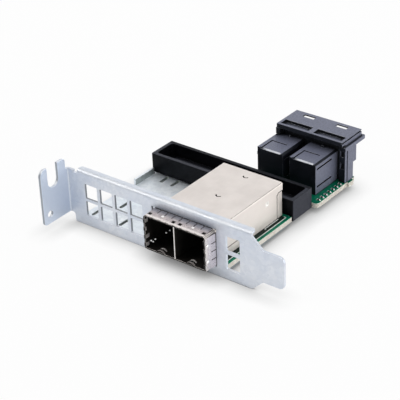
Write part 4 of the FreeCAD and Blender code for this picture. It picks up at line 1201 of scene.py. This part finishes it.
def seen_directly(nodes):
    """1 for the camera's rays and for rays off metal or through glass, else 0."""
    path = nodes.node("LightPath", {})
    seen = nodes.either(path.outputs["Is Camera Ray"], path.outputs["Is Glossy Ray"])
    return nodes.either(seen, path.outputs["Is Transmission Ray"])


def floor_paper():
    """Pale paper: white to the camera and in reflections, dark close under the part."""
    material = bpy.data.materials.new("floor")
    material.use_nodes = True
    material.node_tree.nodes.clear()
    nodes = Nodes(material.node_tree)
    near = nodes.node("AmbientOcclusion", {"Distance": SHADOW_REACH * MM}, samples=SHADOW_SAMPLES)
    fall = nodes.math("POWER", near.outputs["AO"], SHADOW_POWER)
    glow = nodes.node("Emission", {"Strength": fall})
    paper = nodes.node("BsdfDiffuse", {"Color": FLOOR_COLOUR})
    share = nodes.math("MULTIPLY", seen_directly(nodes), FLOOR_GLOW)
    blend = nodes.node("MixShader", {"Fac": share, 1: paper.outputs[0], 2: glow.outputs[0]})
    nodes.node("OutputMaterial", {"Surface": blend.outputs[0]})
    return material


def floor():
    """Large pale floor under the part."""
    mesh = bpy.data.meshes.new("floor")
    corners = [(-FLOOR_REACH, -FLOOR_REACH, 0), (FLOOR_REACH, -FLOOR_REACH, 0),
               (FLOOR_REACH, FLOOR_REACH, 0), (-FLOOR_REACH, FLOOR_REACH, 0)]
    mesh.from_pydata(corners, [], [(0, 1, 2, 3)])
    mesh.materials.append(floor_paper())
    made = bpy.data.objects.new("floor", mesh)
    bpy.context.scene.collection.objects.link(made)


def world():
    """Studio: a white sweep round the horizon, and a dimmer room above it."""
    made = bpy.data.worlds.new("studio")
    bpy.context.scene.world = made
    made.use_nodes = True
    nodes = Nodes(made.node_tree)
    where = nodes.node("TexCoord", {}).outputs["Generated"]
    height = nodes.node("SeparateXYZ", {"Vector": where}).outputs["Z"]
    background = made.node_tree.nodes["Background"]
    nodes.feed(background.inputs["Strength"], nodes.steps(height, *SWEEP_RISE, 1.0, ROOM_LIGHT))
    nodes.feed(background.inputs["Color"], SWEEP_COLOUR)


def lamp(name, direction, distance, size, level):
    """Soft square lamp that faces the part; level is how bright its face is beside white."""
    light = bpy.data.lights.new(name, "AREA")
    light.size = size
    light.energy = level * math.pi * size ** 2
    made = bpy.data.objects.new(name, light)
    towards = Vector(direction).normalized()
    made.location = towards * distance
    made.rotation_euler = (-towards).to_track_quat("-Z", "Y").to_euler()
    made.visible_camera = False
    bpy.context.scene.collection.objects.link(made)


def camera():
    """Camera at the photograph's place and angle."""
    turn, rise, roll = (math.radians(angle) for angle in (AZIMUTH, ELEVATION, ROLL))
    back = Vector((math.sin(turn) * math.cos(rise), -math.cos(turn) * math.cos(rise), math.sin(rise)))
    level = Vector((math.cos(turn), math.sin(turn), 0))
    upright = back.cross(level)
    right = level * math.cos(roll) + upright * math.sin(roll)
    up = upright * math.cos(roll) - level * math.sin(roll)
    data = bpy.data.cameras.new("camera")
    data.lens = LENS
    data.sensor_width = SENSOR
    made = bpy.data.objects.new("camera", data)
    bpy.context.scene.collection.objects.link(made)
    axes = Matrix((right, up, back)).transposed().to_4x4()
    made.matrix_world = Matrix.Translation(Vector(EYE) * MM) @ axes
    bpy.context.scene.camera = made


floor()
world()
for lamp_name, lamp_facts in LAMPS.items():
    lamp(lamp_name, *lamp_facts)
camera()

bpy.context.scene.view_settings.view_transform = "Standard"
